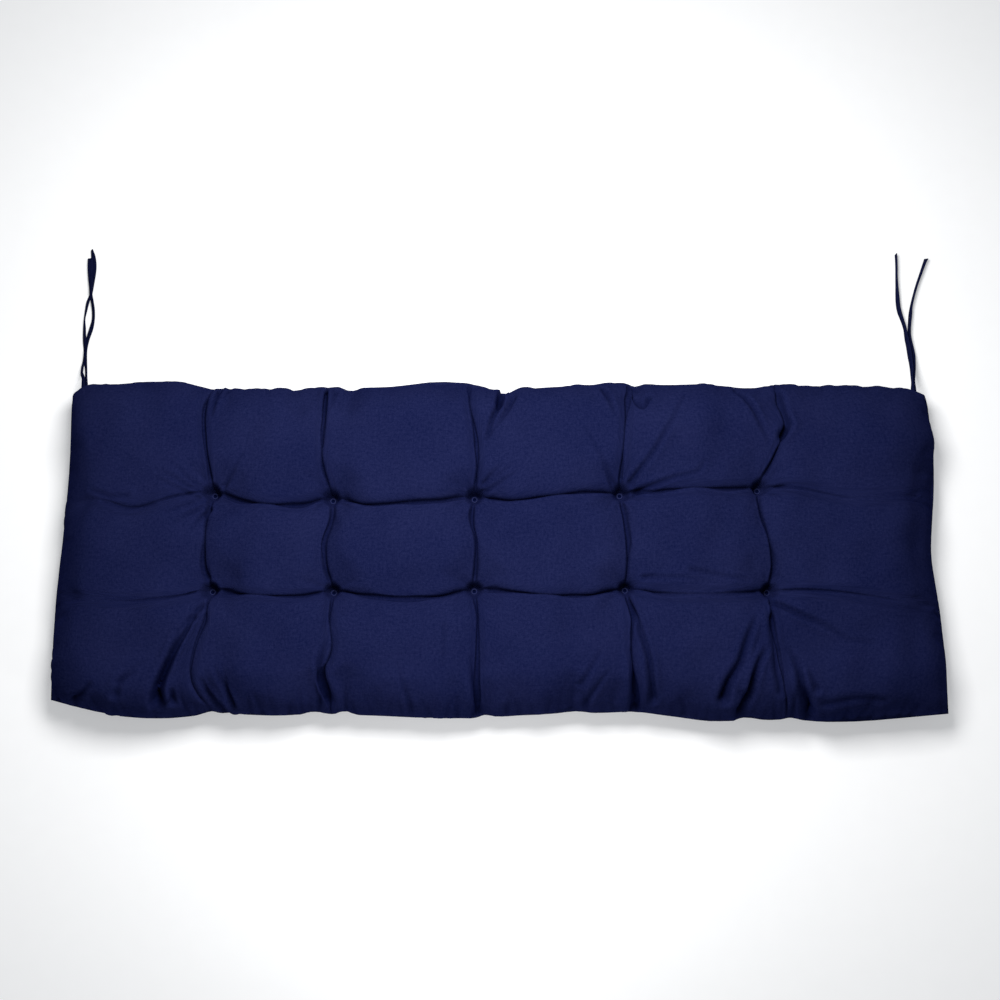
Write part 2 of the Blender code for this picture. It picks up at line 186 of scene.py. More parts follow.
# How far each crease is closed at every half field: front to back for lines 1 to 5, then
# left to right for the front and the back tufts. It is open where the curve is below 0
CLOSED_DOWN = (
    (0.2, 0.4, 1.0, 0.8, 1.0, 0.7, 0.6),
    (0.6, 0.6, 1.0, 0.8, 1.0, 0.6, 0.7),
    (0.6, 0.6, 1.0, 0.9, 1.0, 0.7, 0.3),
    (0.9, 0.8, 1.0, 0.9, 1.0, 0.5, 0.4),
    (0.3, 0.6, 1.0, 1.0, 1.0, 0.9, 0.5),
)
CLOSED_ACROSS = (
    (-0.4, 0.2, 1.0, 0.6, 1.0, 0.6, 1.0, 0.6, 1.0, 0.1, 0.9, 0.40, -0.5),
    (-0.3, 0.35, 1.0, 1.0, 1.0, 1.0, 1.0, 0.9, 1.0, 0.6, 0.9, 0.15, -0.3),
)

# Folds that leave a tuft or a seam: half width, start depth, end depth, then the route.
# A fold narrows where it gets shallower, and one with a negative depth is a ridge
FOLDS = (
    (0.0030, 0.0045, 0.0025, (-0.397, -0.089), (-0.414, -0.105), (-0.428, -0.125), (-0.440, -0.151)),
    (0.0050, 0.0010, 0.0220, (-0.424, -0.127), (-0.439, -0.158), (-0.447, -0.180),
     (-0.454, -0.198), (-0.456, -0.217)),
    (0.0030, 0.0050, 0.0080, (-0.408, -0.106), (-0.428, -0.142), (-0.443, -0.173),
     (-0.452, -0.197)),
    (0.0030, -0.0030, -0.0070, (-0.407, -0.112), (-0.420, -0.136), (-0.431, -0.158),
     (-0.438, -0.180), (-0.442, -0.210)),
    (0.0028, 0.0025, 0.0060, (-0.414, -0.120), (-0.429, -0.151), (-0.437, -0.175),
     (-0.439, -0.198), (-0.435, -0.217)),
    (0.0030, 0.0020, 0.0070, (-0.398, -0.187), (-0.392, -0.204), (-0.380, -0.220), (-0.366, -0.232)),
    (0.0028, 0.0010, 0.0040, (-0.378, -0.171), (-0.369, -0.195), (-0.358, -0.220)),
    (0.0028, 0.0008, 0.0030, (-0.367, -0.171), (-0.363, -0.201), (-0.356, -0.222)),
    (0.0034, 0.0020, 0.0070, (-0.543, -0.192), (-0.554, -0.204), (-0.571, -0.213)),
    (0.0034, 0.0010, 0.0040, (-0.484, -0.179), (-0.503, -0.190), (-0.509, -0.206)),
    (0.0034, 0.0008, 0.0025, (-0.470, -0.163), (-0.489, -0.175), (-0.503, -0.189)),
    (0.0046, 0.0010, 0.0130, (-0.236, -0.143), (-0.240, -0.165), (-0.238, -0.190), (-0.228, -0.216)),
    (0.0030, 0.0008, 0.0040, (-0.248, -0.180), (-0.247, -0.200), (-0.242, -0.220)),
    (0.0038, 0.0030, 0.0130, (0.004, 0.222), (0.000, 0.196)),
    (0.0032, 0.0110, 0.0040, (0.001, 0.212), (-0.001, 0.191), (-0.007, 0.177),
     (-0.012, 0.160), (-0.018, 0.141)),
    (0.0026, 0.0050, 0.0030, (0.021, 0.205), (0.012, 0.188), (0.000, 0.165), (-0.012, 0.145)),
    (0.0026, -0.0040, -0.0010, (0.010, 0.204), (0.000, 0.180), (-0.008, 0.161)),
    (0.0042, 0.0010, 0.0150, (0.341, -0.104), (0.327, -0.138), (0.318, -0.166), (0.303, -0.190),
     (0.296, -0.214)),
    (0.0038, 0.0010, 0.0150, (0.357, -0.145), (0.344, -0.163), (0.336, -0.187), (0.333, -0.208),
     (0.321, -0.229)),
    (0.0032, -0.0010, -0.0040, (0.348, -0.140), (0.332, -0.170), (0.322, -0.200)),
    (0.0036, 0.0040, 0.0030, (0.362, -0.105), (0.364, -0.142), (0.366, -0.172), (0.371, -0.204)),
    (0.0046, 0.0010, 0.0150, (0.386, -0.149), (0.397, -0.175), (0.401, -0.197), (0.413, -0.231)),
    (0.0030, 0.0010, 0.0050, (0.393, -0.158), (0.409, -0.175), (0.420, -0.200)),
    (0.0030, 0.0060, 0.0012, (0.366, -0.085), (0.401, -0.102), (0.434, -0.117), (0.463, -0.136),
     (0.499, -0.139)),
    (0.0026, -0.0020, -0.0006, (0.366, -0.090), (0.394, -0.105), (0.430, -0.128)),
    (0.0040, 0.0030, 0.0020, (0.430, -0.220), (0.469, -0.212), (0.510, -0.215)),
    (0.0025, 0.0045, 0.0008, (-0.402, 0.065), (-0.436, 0.079), (-0.468, 0.096)),
    (0.0025, 0.0037, 0.0008, (-0.399, 0.068), (-0.426, 0.086), (-0.450, 0.107)),
    (0.0025, 0.0030, 0.0008, (-0.406, 0.058), (-0.438, 0.070), (-0.470, 0.084)),
    (0.0025, 0.0033, 0.0008, (-0.378, 0.074), (-0.364, 0.094), (-0.350, 0.118)),
    (0.0025, 0.0036, 0.0008, (-0.395, 0.043), (-0.408, 0.026), (-0.418, 0.011)),
    (0.0025, 0.0039, 0.0008, (-0.404, 0.046), (-0.443, 0.021)),
    (0.0025, 0.0027, 0.0008, (-0.408, 0.052), (-0.452, 0.036)),
    (0.0028, 0.0015, 0.0024, (-0.540, 0.052), (-0.508, 0.042), (-0.470, 0.047)),
    (0.0025, 0.0015, 0.0021, (-0.560, 0.070), (-0.530, 0.058), (-0.505, 0.060)),
    (0.0028, 0.0060, 0.0015, (-0.391, 0.216), (-0.394, 0.196), (-0.396, 0.175)),
    (0.0025, 0.0033, 0.0009, (-0.378, 0.220), (-0.388, 0.200)),
    (0.0025, 0.0045, 0.0015, (-0.242, 0.214), (-0.241, 0.163), (-0.242, 0.130)),
    (0.0028, 0.0030, 0.0012, (-0.228, 0.216), (-0.232, 0.190)),
    (0.0025, 0.0053, 0.0009, (-0.026, 0.064), (0.001, 0.079), (0.027, 0.095)),
    (0.0025, 0.0039, 0.0008, (-0.022, 0.078), (0.004, 0.105)),
    (0.0025, 0.0033, 0.0008, (-0.024, 0.070), (0.018, 0.104)),
    (0.0045, 0.0010, 0.0080, (-0.038, -0.161), (-0.034, -0.187), (-0.028, -0.233)),
    (0.0025, 0.0037, 0.0009, (0.155, 0.075), (0.138, 0.112), (0.117, 0.155)),
    (0.0028, 0.0045, 0.0020, (0.178, 0.078), (0.212, 0.123), (0.238, 0.168), (0.254, 0.203)),
    (0.0031, 0.0067, 0.0012, (0.144, 0.216), (0.157, 0.178)),
    (0.0031, 0.0060, 0.0060, (0.186, 0.212), (0.197, 0.191), (0.206, 0.209)),
    (0.0030, 0.0040, 0.0070, (0.171, -0.077), (0.185, -0.115), (0.199, -0.161), (0.205, -0.216)),
    (0.0050, 0.0015, 0.0110, (0.174, -0.150), (0.177, -0.179), (0.183, -0.230)),
    (0.0028, 0.0010, 0.0035, (0.133, -0.152), (0.108, -0.197)),
    (0.0028, 0.0010, 0.0045, (0.143, -0.178), (0.114, -0.222)),
    (0.0031, 0.0075, 0.0015, (0.329, 0.216), (0.350, 0.175), (0.367, 0.136)),
    (0.0040, 0.0040, 0.0060, (0.388, 0.205), (0.391, 0.176), (0.397, 0.160), (0.385, 0.144)),
    (0.0028, 0.0045, 0.0015, (0.171, 0.063), (0.201, 0.072), (0.239, 0.086), (0.270, 0.093),
     (0.278, 0.107)),
    (0.0025, 0.0037, 0.0009, (0.353, 0.071), (0.393, 0.074), (0.438, 0.071)),
    (0.0025, 0.0030, 0.0009, (0.193, -0.051), (0.254, -0.053)),
    (0.0025, 0.0027, 0.0009, (0.257, -0.042), (0.302, -0.051), (0.335, -0.055)),
    (0.0028, 0.0009, 0.0037, (-0.136, -0.169), (-0.130, -0.191), (-0.119, -0.228)),
    (0.0028, 0.0018, 0.0012, (-0.075, -0.117), (-0.077, -0.171)),
)

# Share of its half width that a fold keeps at its shallowest, and how many times the
# rounding of its bottom goes into the half width
FOLD_NARROWEST = 0.55
FOLD_ROUNDING = 3

# Raised shoulders of a fold: height as a share of its depth, the most depth that counts,
# and distance from the fold and width, both counted in half widths of the fold
FOLD_SHOULDER = 0.42
FOLD_SHOULDER_DEPTH = 0.006
FOLD_SHOULDER_OFFSET = 2.6
FOLD_SHOULDER_WIDTH = 1.4

# Distance from a tuft's pad over which a crease takes on its painted shade, and the share
# of it that it has at the pad
PAINTED_SHADE_START = 0.022
PAINTED_SHADE_AT_PAD = 0.15

# Short gathers round each tuft and along the seam. Each is pressed in within so many half
# widths of its route, and fades along it by a power of what is left of the way
GATHER_SEED = 11
GATHER_NEAR = 4
GATHER_FADING = 0.7
TUFT_GATHERS = 11
TUFT_GATHER_UNEVENNESS = 0.35
TUFT_GATHER_START = 0.007
TUFT_GATHER_REACH = (0.020, 0.044)
TUFT_GATHER_DEPTH = (0.0005, 0.0016)
TUFT_GATHER_WIDTH = 0.0024
SEAM_GATHER_SPACING = (0.010, 0.024)
SEAM_GATHER_REACH = (0.010, 0.034)
SEAM_GATHER_LEAN = 0.5
SEAM_GATHER_MARGIN = 0.05
SEAM_GATHER_DEPTH = {"front": (0.0008, 0.0030), "back": (0.0003, 0.0010), "side": (0.0003, 0.0012)}
SEAM_GATHER_WIDTH = 0.0030

# Edges with gathers: its row in the table of depths, whether it runs across, its place in
# fields, the way inwards, the fields along it, and their rough size
GATHERED_EDGES = (
    ("front", True, 0, 1, FIELDS_ACROSS, 0.2),
    ("back", True, FIELDS_DEEP, -1, FIELDS_ACROSS, 0.2),
    ("side", False, 0, 1, FIELDS_DEEP, 0.15),
    ("side", False, FIELDS_ACROSS, -1, FIELDS_DEEP, 0.15),
)

# Painted shade in folds and creases: depth at which it is half on, and the most it takes on
PAINTED_SHADE_HALF_DEPTH = 0.0060
PAINTED_SHADE_MOST = 0.95

# Unevenness of the filling: wave length and height of each size, then the waves of a size
# and how far their lengths vary
LUMPS = ((0.120, 0.0022), (0.055, 0.0009))
LUMP_WAVES = 7
LUMP_VARIATION = (0.8, 1.25)
LUMP_SEED = 5

# Swelling of the cover under the pressure of its filling. The cloth is held at the seam, up
# to a share of the seam's thickness, and round each tuft, as a share of the pad's radius
SWELL_FRAMES = 20
SWELL_CAP = 0.006
HELD_AT_SEAM = 0.51
HELD_AT_TUFT = 1.5
SWELL_CLOTH = {
    "quality": 6,
    "mass": 0.2,
    "tension_stiffness": 15,
    "compression_stiffness": 8,
    "shear_stiffness": 4,
    "bending_stiffness": 0.25,
    "use_pressure": True,
    "uniform_pressure_force": 4.0,
    "shrink_min": -0.02,
}

# Tacks: a ring of thread wraps, which are thinner between two turns, over a dish of cloth
TACK_RADIUS = 0.0045
TACK_THREAD = 0.00115
TACK_WRAPS = 26
TACK_STEPS_A_WRAP = 4
TACK_STEPS_OVER = 8
TACK_WAIST = 0.20
TACK_FLATNESS = 0.75
TACK_WRAP_LENGTH = 0.004
TACK_DISH = 0.0003
TACK_DISH_SIDES = 36
GAP = 0.0003

# Ties: x, y, height of the middle, degrees turned from flat
TIE_WIDTH = 0.008
TIE_THICKNESS = 0.0013
TIES = {
    "tie_left_a": (
        (-0.5942, 0.2472, 0.0270, 43),
        (-0.5992, 0.2585, 0.0175, 48),
        (-0.6007, 0.2689, 0.0110, 50),
        (-0.6002, 0.2791, 0.0065, 45),
        (-0.5999, 0.2888, 0.0046, 44),
        (-0.6002, 0.2994, 0.0045, 46),
        (-0.6019, 0.3131, 0.0044, 43),
        (-0.6030, 0.3298, 0.0046, 49),
        (-0.6037, 0.3435, 0.0048, 64),
        (-0.6023, 0.3574, 0.0046, 53),
        (-0.6005, 0.3711, 0.0042, 43),
        (-0.5971, 0.3822, 0.0042, 45),
        (-0.5960, 0.3931, 0.0040, 40),
        (-0.5958, 0.4035, 0.0032, 27),
        (-0.5955, 0.4180, 0.0018, 8),
        (-0.5959, 0.4298, 0.0014, 2),
        (-0.5969, 0.4409, 0.0030, 26),
        (-0.5993, 0.4522, 0.0048, 64),
    ),
    "tie_left_b": (
        (-0.5894, 0.2462, 0.0300, 47),
        (-0.5918, 0.2571, 0.0220, 54),
        (-0.5940, 0.2671, 0.0165, 53),
        (-0.5964, 0.2773, 0.0120, 45),
        (-0.5979, 0.2872, 0.0095, 43),
        (-0.5981, 0.2982, 0.0082, 44),
        (-0.5970, 0.3125, 0.0064, 34),
        (-0.5934, 0.3301, 0.0040, 29),
        (-0.5911, 0.3436, 0.0046, 45),
        (-0.5915, 0.3573, 0.0050, 49),
        (-0.5935, 0.3702, 0.0066, 50),
        (-0.5957, 0.3807, 0.0082, 47),
        (-0.5965, 0.3917, 0.0078, 41),
        (-0.5977, 0.4022, 0.0066, 27),
        (-0.5996, 0.4169, 0.0046, 8),
        (-0.6006, 0.4288, 0.0040, 2),
        (-0.6011, 0.4393, 0.0038, 14),
    ),
    "tie_right_a": (
        (0.5861, 0.2410, 0.0320, 86),
        (0.5881, 0.2514, 0.0250, 84),
        (0.5909, 0.2653, 0.0165, 64),
        (0.5917, 0.2772, 0.0112, 56),
        (0.5917, 0.2869, 0.0080, 45),
        (0.5914, 0.2958, 0.0062, 45),
        (0.5907, 0.3041, 0.0058, 47),
        (0.5893, 0.3126, 0.0060, 52),
        (0.5881, 0.3211, 0.0062, 64),
        (0.5874, 0.3294, 0.0058, 70),
        (0.5854, 0.3396, 0.0050, 70),
        (0.5835, 0.3470, 0.0046, 66),
        (0.5813, 0.3557, 0.0042, 55),
        (0.5800, 0.3642, 0.0042, 55),
        (0.5796, 0.3745, 0.0043, 56),
        (0.5795, 0.3851, 0.0046, 65),
        (0.5796, 0.3983, 0.0048, 77),
        (0.5799, 0.4113, 0.0049, 83),
        (0.5806, 0.4241, 0.0049, 83),
        (0.5809, 0.4362, 0.0049, 83),
        (0.5809, 0.4453, 0.0049, 83),
    ),
    "tie_right_b": (
        (0.5890, 0.2416, 0.0300, 86),
        (0.5918, 0.2522, 0.0225, 84),
        (0.5948, 0.2664, 0.0130, 67),
        (0.5962, 0.2782, 0.0082, 59),
        (0.5969, 0.2879, 0.0050, 49),
        (0.5963, 0.2965, 0.0041, 52),
        (0.5950, 0.3047, 0.0043, 57),
        (0.5939, 0.3131, 0.0045, 64),
        (0.5933, 0.3216, 0.0046, 67),
        (0.5939, 0.3298, 0.0047, 70),
        (0.5949, 0.3390, 0.0047, 68),
        (0.5960, 0.3467, 0.0045, 64),
        (0.5970, 0.3539, 0.0046, 65),
        (0.5980, 0.3606, 0.0048, 73),
        (0.5997, 0.3681, 0.0049, 77),
        (0.6034, 0.3810, 0.0049, 78),
        (0.6091, 0.3983, 0.0049, 76),
        (0.6158, 0.4155, 0.0049, 72),
        (0.6218, 0.4308, 0.0048, 65),
        (0.6252, 0.4381, 0.0045, 55),
    ),
}

# Where each strand leaves the seam: x, distance behind the seam, degrees turned from flat
TIE_ROOTS = {
    "tie_left_a": (-0.5903, -0.0015, 36),
    "tie_left_b": (-0.5858, -0.0015, 36),
    "tie_right_a": (0.5838, -0.0020, 62),
    "tie_right_b": (0.5866, -0.0020, 62),
}

# Rings of a strand, and places at which the back seam is looked at to find the roots
TIE_RINGS = 150
SEAM_SAMPLES = 4001

# Upper half of a strand's section, folded in from both sides: place across and height, as
# shares of half its width and half its thickness
RIBBON_UPPER = (
    (-1.0, 0.0), (-0.96, 0.62), (-0.86, 0.98), (-0.66, 0.80), (-0.50, 0.92), (-0.2, 0.82),
    (0.0, 0.70),
    (0.2, 0.82), (0.5, 0.92), (0.66, 0.80), (0.86, 0.98), (0.96, 0.62), (1.0, 0.0),
)

# Machine stitches of a strand. Their places across and out of its middle are shares of its
# width and thickness
STITCH_PITCH = 0.0032
STITCH_LENGTH = 0.0022
STITCH_THICKNESS = 0.0004
STITCH_ACROSS = 0.30
STITCH_OUT = 0.42

# Colours, as red, green, blue and opacity
# Painted shade colour, put into the folds and creases and on the middle of each tack
PAINTED_SHADE_NAVY = (0.0006, 0.0016, 0.015, 1)
COVER_DARK = (0.0030, 0.0052, 0.031, 1)
COVER_LIGHT = (0.0128, 0.0158, 0.059, 1)
TIE_DARK = (0.0014, 0.0028, 0.017, 1)
TIE_LIGHT = (0.0080, 0.0100, 0.037, 1)
THREAD_DARK = (0.007, 0.010, 0.046, 1)
THREAD_LIGHT = (0.014, 0.020, 0.088, 1)
SHEEN_TINT = (0.06, 0.10, 1.0, 1.0)
FLOOR_DARK = (0.68, 0.68, 0.68, 1)
FLOOR_LIGHT = (0.71, 0.71, 0.71, 1)

# Woven cloth: size of a thread, repeats a metre of each unevenness, its share in the shade,
# contrast and offset of the shade, heights of the bump in metres, roughness and sheen
COVER_WEAVE = 0.0006
TIE_WEAVE = 0.0005
YARN_SCALE = (60, 900, 1)
PATCH_SCALE = 9.0
LINT_SCALE = 260.0
GRAIN_SCALE = 620.0
CRUMPLE_SCALE = 34.0
YARN_SHADE = 0.3
PATCH_SHADE = 0.2
LINT_SHADE = 0.25
GRAIN_SHADE = 0.25
WEAVE_SHADE = 0.06
SHADE_CONTRAST = 3.2
SHADE_OFFSET = 1.1
WEAVE_HEIGHT = 0.00005
YARN_HEIGHT = 0.00008
LINT_HEIGHT = 0.00005
CRUMPLE_HEIGHT = 0.0011
CLOTH_ROUGHNESS = 0.60
YARN_ROUGHNESS = 0.12
SHEEN = 0.02

# Thread: radians of its twist a metre, lean of the twist, repeats of its fuzz a metre,
# height of the bump in metres, and roughness
TWIST_SCALE = 9000.0
TWIST_LEAN = 0.7
FUZZ_SCALE = 1500.0
TWIST_HEIGHT = 0.00005
THREAD_ROUGHNESS = 0.42
FUZZ_ROUGHNESS = 0.15

# Camera at the photograph's angle, in degrees above the horizon
CAMERA_AIM = (0.0, 0.067, 0.04)
CAMERA_ELEVATION = 77.0
CAMERA_DISTANCE = 2.2
CAMERA_LENS = 56.9
CAMERA_SENSOR = 36.0

# Studio. Each light has a place, the place it points at, a width, a depth and a power
FLOOR_HALF_SIZE = 6
FLOOR_Z = -0.0004
FLOOR_GLOW = 0.36
FLOOR_GRAIN_SCALE = 40.0
FLOOR_GRAIN_HEIGHT = 0.00002
FLOOR_ROUGHNESS = 0.9
FLOOR_GRAIN_ROUGHNESS = 0.05
SKY_COLOUR = (0.86, 0.92, 1, 1)
SKY_STRENGTH = 0.24
LIGHTS = {
    "key": ((-0.03, 0.32, 1.04), (0.0, 0.03, 0), 0.5, 0.45, 16.5),
    "front_fill": ((-0.05, -0.52, 0.33), (-0.05, -0.2, 0.05), 0.2, 0.15, 0.6),
}


def smooth_between(values, places):
    """The smooth curve through the values, at places counted in steps along them."""
    values = np.asarray(values, dtype=float)
    places = np.asarray(places, dtype=float)
    padded = np.concatenate(([2 * values[0] - values[1]], values, [2 * values[-1] - values[-2]]))
    index = np.clip(places.astype(int), 0, len(values) - 2)
    part = places - index
    before, start, end, after = (padded[index + step] for step in range(4))
    slope_in = 0.5 * (end - before)
    slope_out = 0.5 * (after - start)
    rest = 1 - part
    return (start * (1 + 2 * part) * rest ** 2 + slope_in * part * rest ** 2
            + end * part ** 2 * (3 - 2 * part) - slope_out * part ** 2 * rest)


def fade(share):
    """Falls smoothly from 1 at 0 to 0 at 1 and beyond."""
    return np.clip(1 - np.asarray(share) ** 2, 0, 1) ** 2


def field_stations(fields, quads):
    """Places along one direction, crowded at the creases, with the seam's lip."""
    even = np.arange(quads) / quads
    crowded = (1 - np.cos(np.pi * even)) / 2
    shares = even * (1 - CREASE_CROWDING) + crowded * CREASE_CROWDING
    inner = np.concatenate([field + shares for field in range(fields)])[1:]
    return np.concatenate(([0, SEAM_LIP], inner, [fields - SEAM_LIP, fields]))


def pick_lines(lines, index):
    """At each place, the value of the line with its index."""
    return np.take_along_axis(lines, index[None], 0)[0]


def plan_place(u, v):
    """X and Y of places on the cushion, counted in fields."""
    u, v = np.broadcast_arrays(np.asarray(u, dtype=float), np.asarray(v, dtype=float))
    column = np.clip(u.astype(int), 0, FIELDS_ACROSS - 1)
    row = np.clip(v.astype(int), 0, FIELDS_DEEP - 1)
    lines_x = np.stack([smooth_between(line, LINE_STEPS * v) for line in LINE_X])
    lines_y = np.stack([smooth_between(line, LINE_STEPS * u) for line in LINE_Y])
    left, right = pick_lines(lines_x, column), pick_lines(lines_x, column + 1)
    near, far = pick_lines(lines_y, row), pick_lines(lines_y, row + 1)
    x = left + (right - left) * (u - column)
    y = near + (far - near) * (v - row)
    move_x, move_y = corner_moves(x, y)
    return x + move_x, y + move_y + pinch_moves(x, y, lines_y[0], lines_y[-1])


def corner_moves(x, y):
    """How far places near a back corner are moved to round the corner off."""
    move_x = np.zeros_like(x)
    move_y = np.zeros_like(y)
    for corner_u, corner_v, dx, dy in CORNER_ROUNDING:
        along = np.abs(x - LINE_X[corner_u][LINE_STEPS * corner_v]) / CORNER_REACH
        inward = np.abs(y - LINE_Y[corner_v][LINE_STEPS * corner_u]) / CORNER_REACH
        weight = np.clip(1 - along, 0, 1) ** 2 * np.clip(1 - inward, 0, 1) ** 2
        move_x += dx * weight
        move_y += dy * weight
    return move_x, move_y


def seam_dents():
    """Small dents along the front and back seams, as rows of edge, x, depth, half width."""
    chance = random.Random(DENT_SEED)
    dents = []
    for edge in ("front", "back"):
        x = LINE_X[0][0] + DENT_SPACING[1]
        while x < LINE_X[-1][0] - DENT_SPACING[1]:
            dents.append((edge, x, chance.uniform(*DENT_DEPTH), chance.uniform(*DENT_HALF_WIDTH)))
            x += chance.uniform(*DENT_SPACING)
    return dents


DRAWN_IN = (*PINCHES, *seam_dents())


def pinch_moves(x, y, front, back):
    """How far the stitching draws places in towards the middle of the cushion."""
    moves = np.zeros_like(x)
    for edge, centre, depth, half_width in DRAWN_IN:
        line, inward = (back, -1) if edge == "back" else (front, 1)
        reach = fade(np.abs(y - line) / PINCH_REACH)
        moves += inward * depth * np.exp(-((x - centre) / half_width) ** 2) * reach
    return moves


def rise(share, field, fields, crease=CREASE_STEEPNESS):
    """Rise of the filling across a field: 0 at its two lines and 1 at its middle."""
    start = np.where(field == 0, SEAM_LIP, 0.0)
    end = np.where(field == fields - 1, 1 - SEAM_LIP, 1.0)
    part = np.clip((share - start) / (end - start), 0, 1)
    near = np.where(field == 0, SEAM_STEEPNESS, crease)
    far = np.where(field == fields - 1, SEAM_STEEPNESS, crease)
    return part ** near * (1 - part) ** far / 0.5 ** (near + far)


def knot_heights():
    """Heights where two lines cross: the seam's at the edge, or else a tuft's."""
    knots = np.full((FIELDS_ACROSS + 1, FIELDS_DEEP + 1), SEAM_HEIGHT + SEAM_THICKNESS / 2)
    knots[1:-1, 1:-1] = TUFT_HEIGHT
    return knots


def crease_heights(start, end, middle, share, swell):
    """Height along one piece of crease or seam, from knot to knot."""
    return start + (end - start) * share + np.nan_to_num(middle - (start + end) / 2) * swell


def open_share(column, row, across, deep):
    """How far the outer fields have run together towards a side seam, 0 to 1."""
    reach = np.full((FIELDS_ACROSS, FIELDS_DEEP + 1), np.inf)
    for line in (1, 2):
        reach[(0, -1), line] = OPEN_ACROSS[LINE_Y_ROWS[line]]
    reach[:, 0], reach[:, -1] = reach[:, 1], reach[:, -2]
    from_tuft = np.where(column == 0, 1 - across, across)
    near, far = (np.clip(from_tuft / reach[column, row + side], 0, 1) for side in (0, 1))
    share = near + (far - near) * deep
    return share ** 2 * (3 - 2 * share)


def valley_heights(column, row, across, deep):
    """Height between the four creases round a field: their mean, weighted by nearness."""
    swell_u = rise(across, column, FIELDS_ACROSS, VALLEY_STEEPNESS)
    swell_v = rise(deep, row, FIELDS_DEEP, VALLEY_STEEPNESS)
    knots = knot_heights()
    down = np.full((FIELDS_ACROSS + 1, FIELDS_DEEP), np.nan)
    down[1:-1] = CREASE_DOWN
    flat = np.full((FIELDS_ACROSS, FIELDS_DEEP + 1), np.nan)
    for line in (1, 2):
        flat[:, line] = CREASE_ACROSS[LINE_Y_ROWS[line]]
    total = np.zeros_like(across)
    weights = np.zeros_like(across)
    for side in (0, 1):
        crossing = crease_heights(knots[column + side, row], knots[column + side, row + 1],
                                  down[column + side, row], deep, swell_v)
        running = crease_heights(knots[column, row + side], knots[column + 1, row + side],
                                 flat[column, row + side], across, swell_u)
        for height, away in ((crossing, np.abs(across - side)), (running, np.abs(deep - side))):
            weight = 1 / (away ** 2 + ON_CREASE)
            total += weight * height
            weights += weight
    return total / weights


def tuft_places():
    """The tufts by name, with their place on the plan."""
    places = {}
    for row_name, line in (("front", 1), ("back", 2)):
        for number in range(1, FIELDS_ACROSS):
            x, y = plan_place(number, line)
            places[f"{row_name}_{number}"] = (float(x), float(y))
    return places


TUFTS = tuft_places()


def tuft_distance(x, y):
    """Distance of places on the plan from the nearest tuft."""
    return np.min([np.hypot(x - place[0], y - place[1]) for place in TUFTS.values()], axis=0)


def top_heights(u, v, x, y):
    """Height of the upper panel, before the folds."""
    column = np.clip(u.astype(int), 0, FIELDS_ACROSS - 1)
    row = np.clip(v.astype(int), 0, FIELDS_DEEP - 1)
    across, deep = u - column, v - row
    crowns = np.array(list(CROWNS.values()))[row, column]
    swell_u = rise(across, column, FIELDS_ACROSS)
    valley = valley_heights(column, row, across, deep)
    creased = valley + (crowns - valley) * swell_u * rise(deep, row, FIELDS_DEEP)
    from_middle = np.where(row == 0, 0.5 - deep, np.where(row == FIELDS_DEEP - 1, deep - 0.5, 0))
    to_seam = rise(0.5 - np.clip(from_middle, 0, 0.5), 0, FIELDS_DEEP, SEAM_STEEPNESS)
    seam = knot_heights()[0, 0]
    smooth = seam + (crowns - seam) * swell_u * to_seam
    heights = creased + (smooth - creased) * open_share(column, row, across, deep)
    beyond = np.clip(tuft_distance(x, y) - TUFT_PAD_RADIUS, 0, None)
    pad = fade(beyond / (TUFT_FUNNEL_RADIUS - TUFT_PAD_RADIUS))
    return heights + (TUFT_HEIGHT - heights) * pad


def underside_heights(u, v, x, y):
    """Height of the lower panel: flat, curved up to the seam, with pits and creases."""
    zero = np.zeros_like(u)
    side = np.minimum(x - plan_place(zero, v)[0], plan_place(zero + FIELDS_ACROSS, v)[0] - x)
    end = np.minimum(y - plan_place(u, zero)[1], plan_place(u, zero + FIELDS_DEEP)[1] - y)
    shares = [np.clip(1 - distance / UNDERSIDE_CURVE, 0, 1) for distance in (side, end)]
    total = sum(part ** UNDERSIDE_CORNER for part in shares) ** (1 / UNDERSIDE_CORNER)
    share = np.clip(total, 0, 1)
    heights = (SEAM_HEIGHT - SEAM_THICKNESS / 2) * (1 - np.sqrt(1 - share ** 2))
    for place in TUFTS.values():
        away = np.hypot(x - place[0], y - place[1])
        heights += UNDERSIDE_PIT_DEPTH * fade(away / UNDERSIDE_PIT_RADIUS)
    creases = [x - plan_place(zero + line, v)[0] for line in range(1, FIELDS_ACROSS)]
    creases += [y - plan_place(u, zero + line)[1] for line in range(1, FIELDS_DEEP)]
    for away in creases:
        groove = fade(away / UNDERSIDE_CREASE_HALF_WIDTH)
        heights += UNDERSIDE_CREASE_DEPTH * groove * (1 - share)
    return heights


def crease_relief(u, v, x, y):
    """The narrow crease between the tufts, where the left or front ply laps a little higher."""
    zero = np.zeros_like(u)
    relief = np.zeros_like(x)
    lines = [(x - plan_place(zero + line, v)[0], closed, v)
             for line, closed in enumerate(CLOSED_DOWN, 1)]
    lines += [(y - plan_place(u, zero + line)[1], closed, u)
              for line, closed in enumerate(CLOSED_ACROSS, 1)]
    for away, closed, along in lines:
        groove = np.exp(-np.abs(away) / CREASE_HALF_WIDTH)
        lap = np.exp(-(away / CREASE_HALF_WIDTH + CREASE_LAP_OFFSET) ** 2)
        share = np.clip(smooth_between(closed, 2 * along), 0, 1)
        pressed = np.minimum(relief, 0) + share * (CREASE_LAP * lap - CREASE_GROOVE * groove)
        relief = np.where(np.abs(away) < CREASE_HALF_WIDTH * CREASE_REACH, pressed, relief)
    return relief


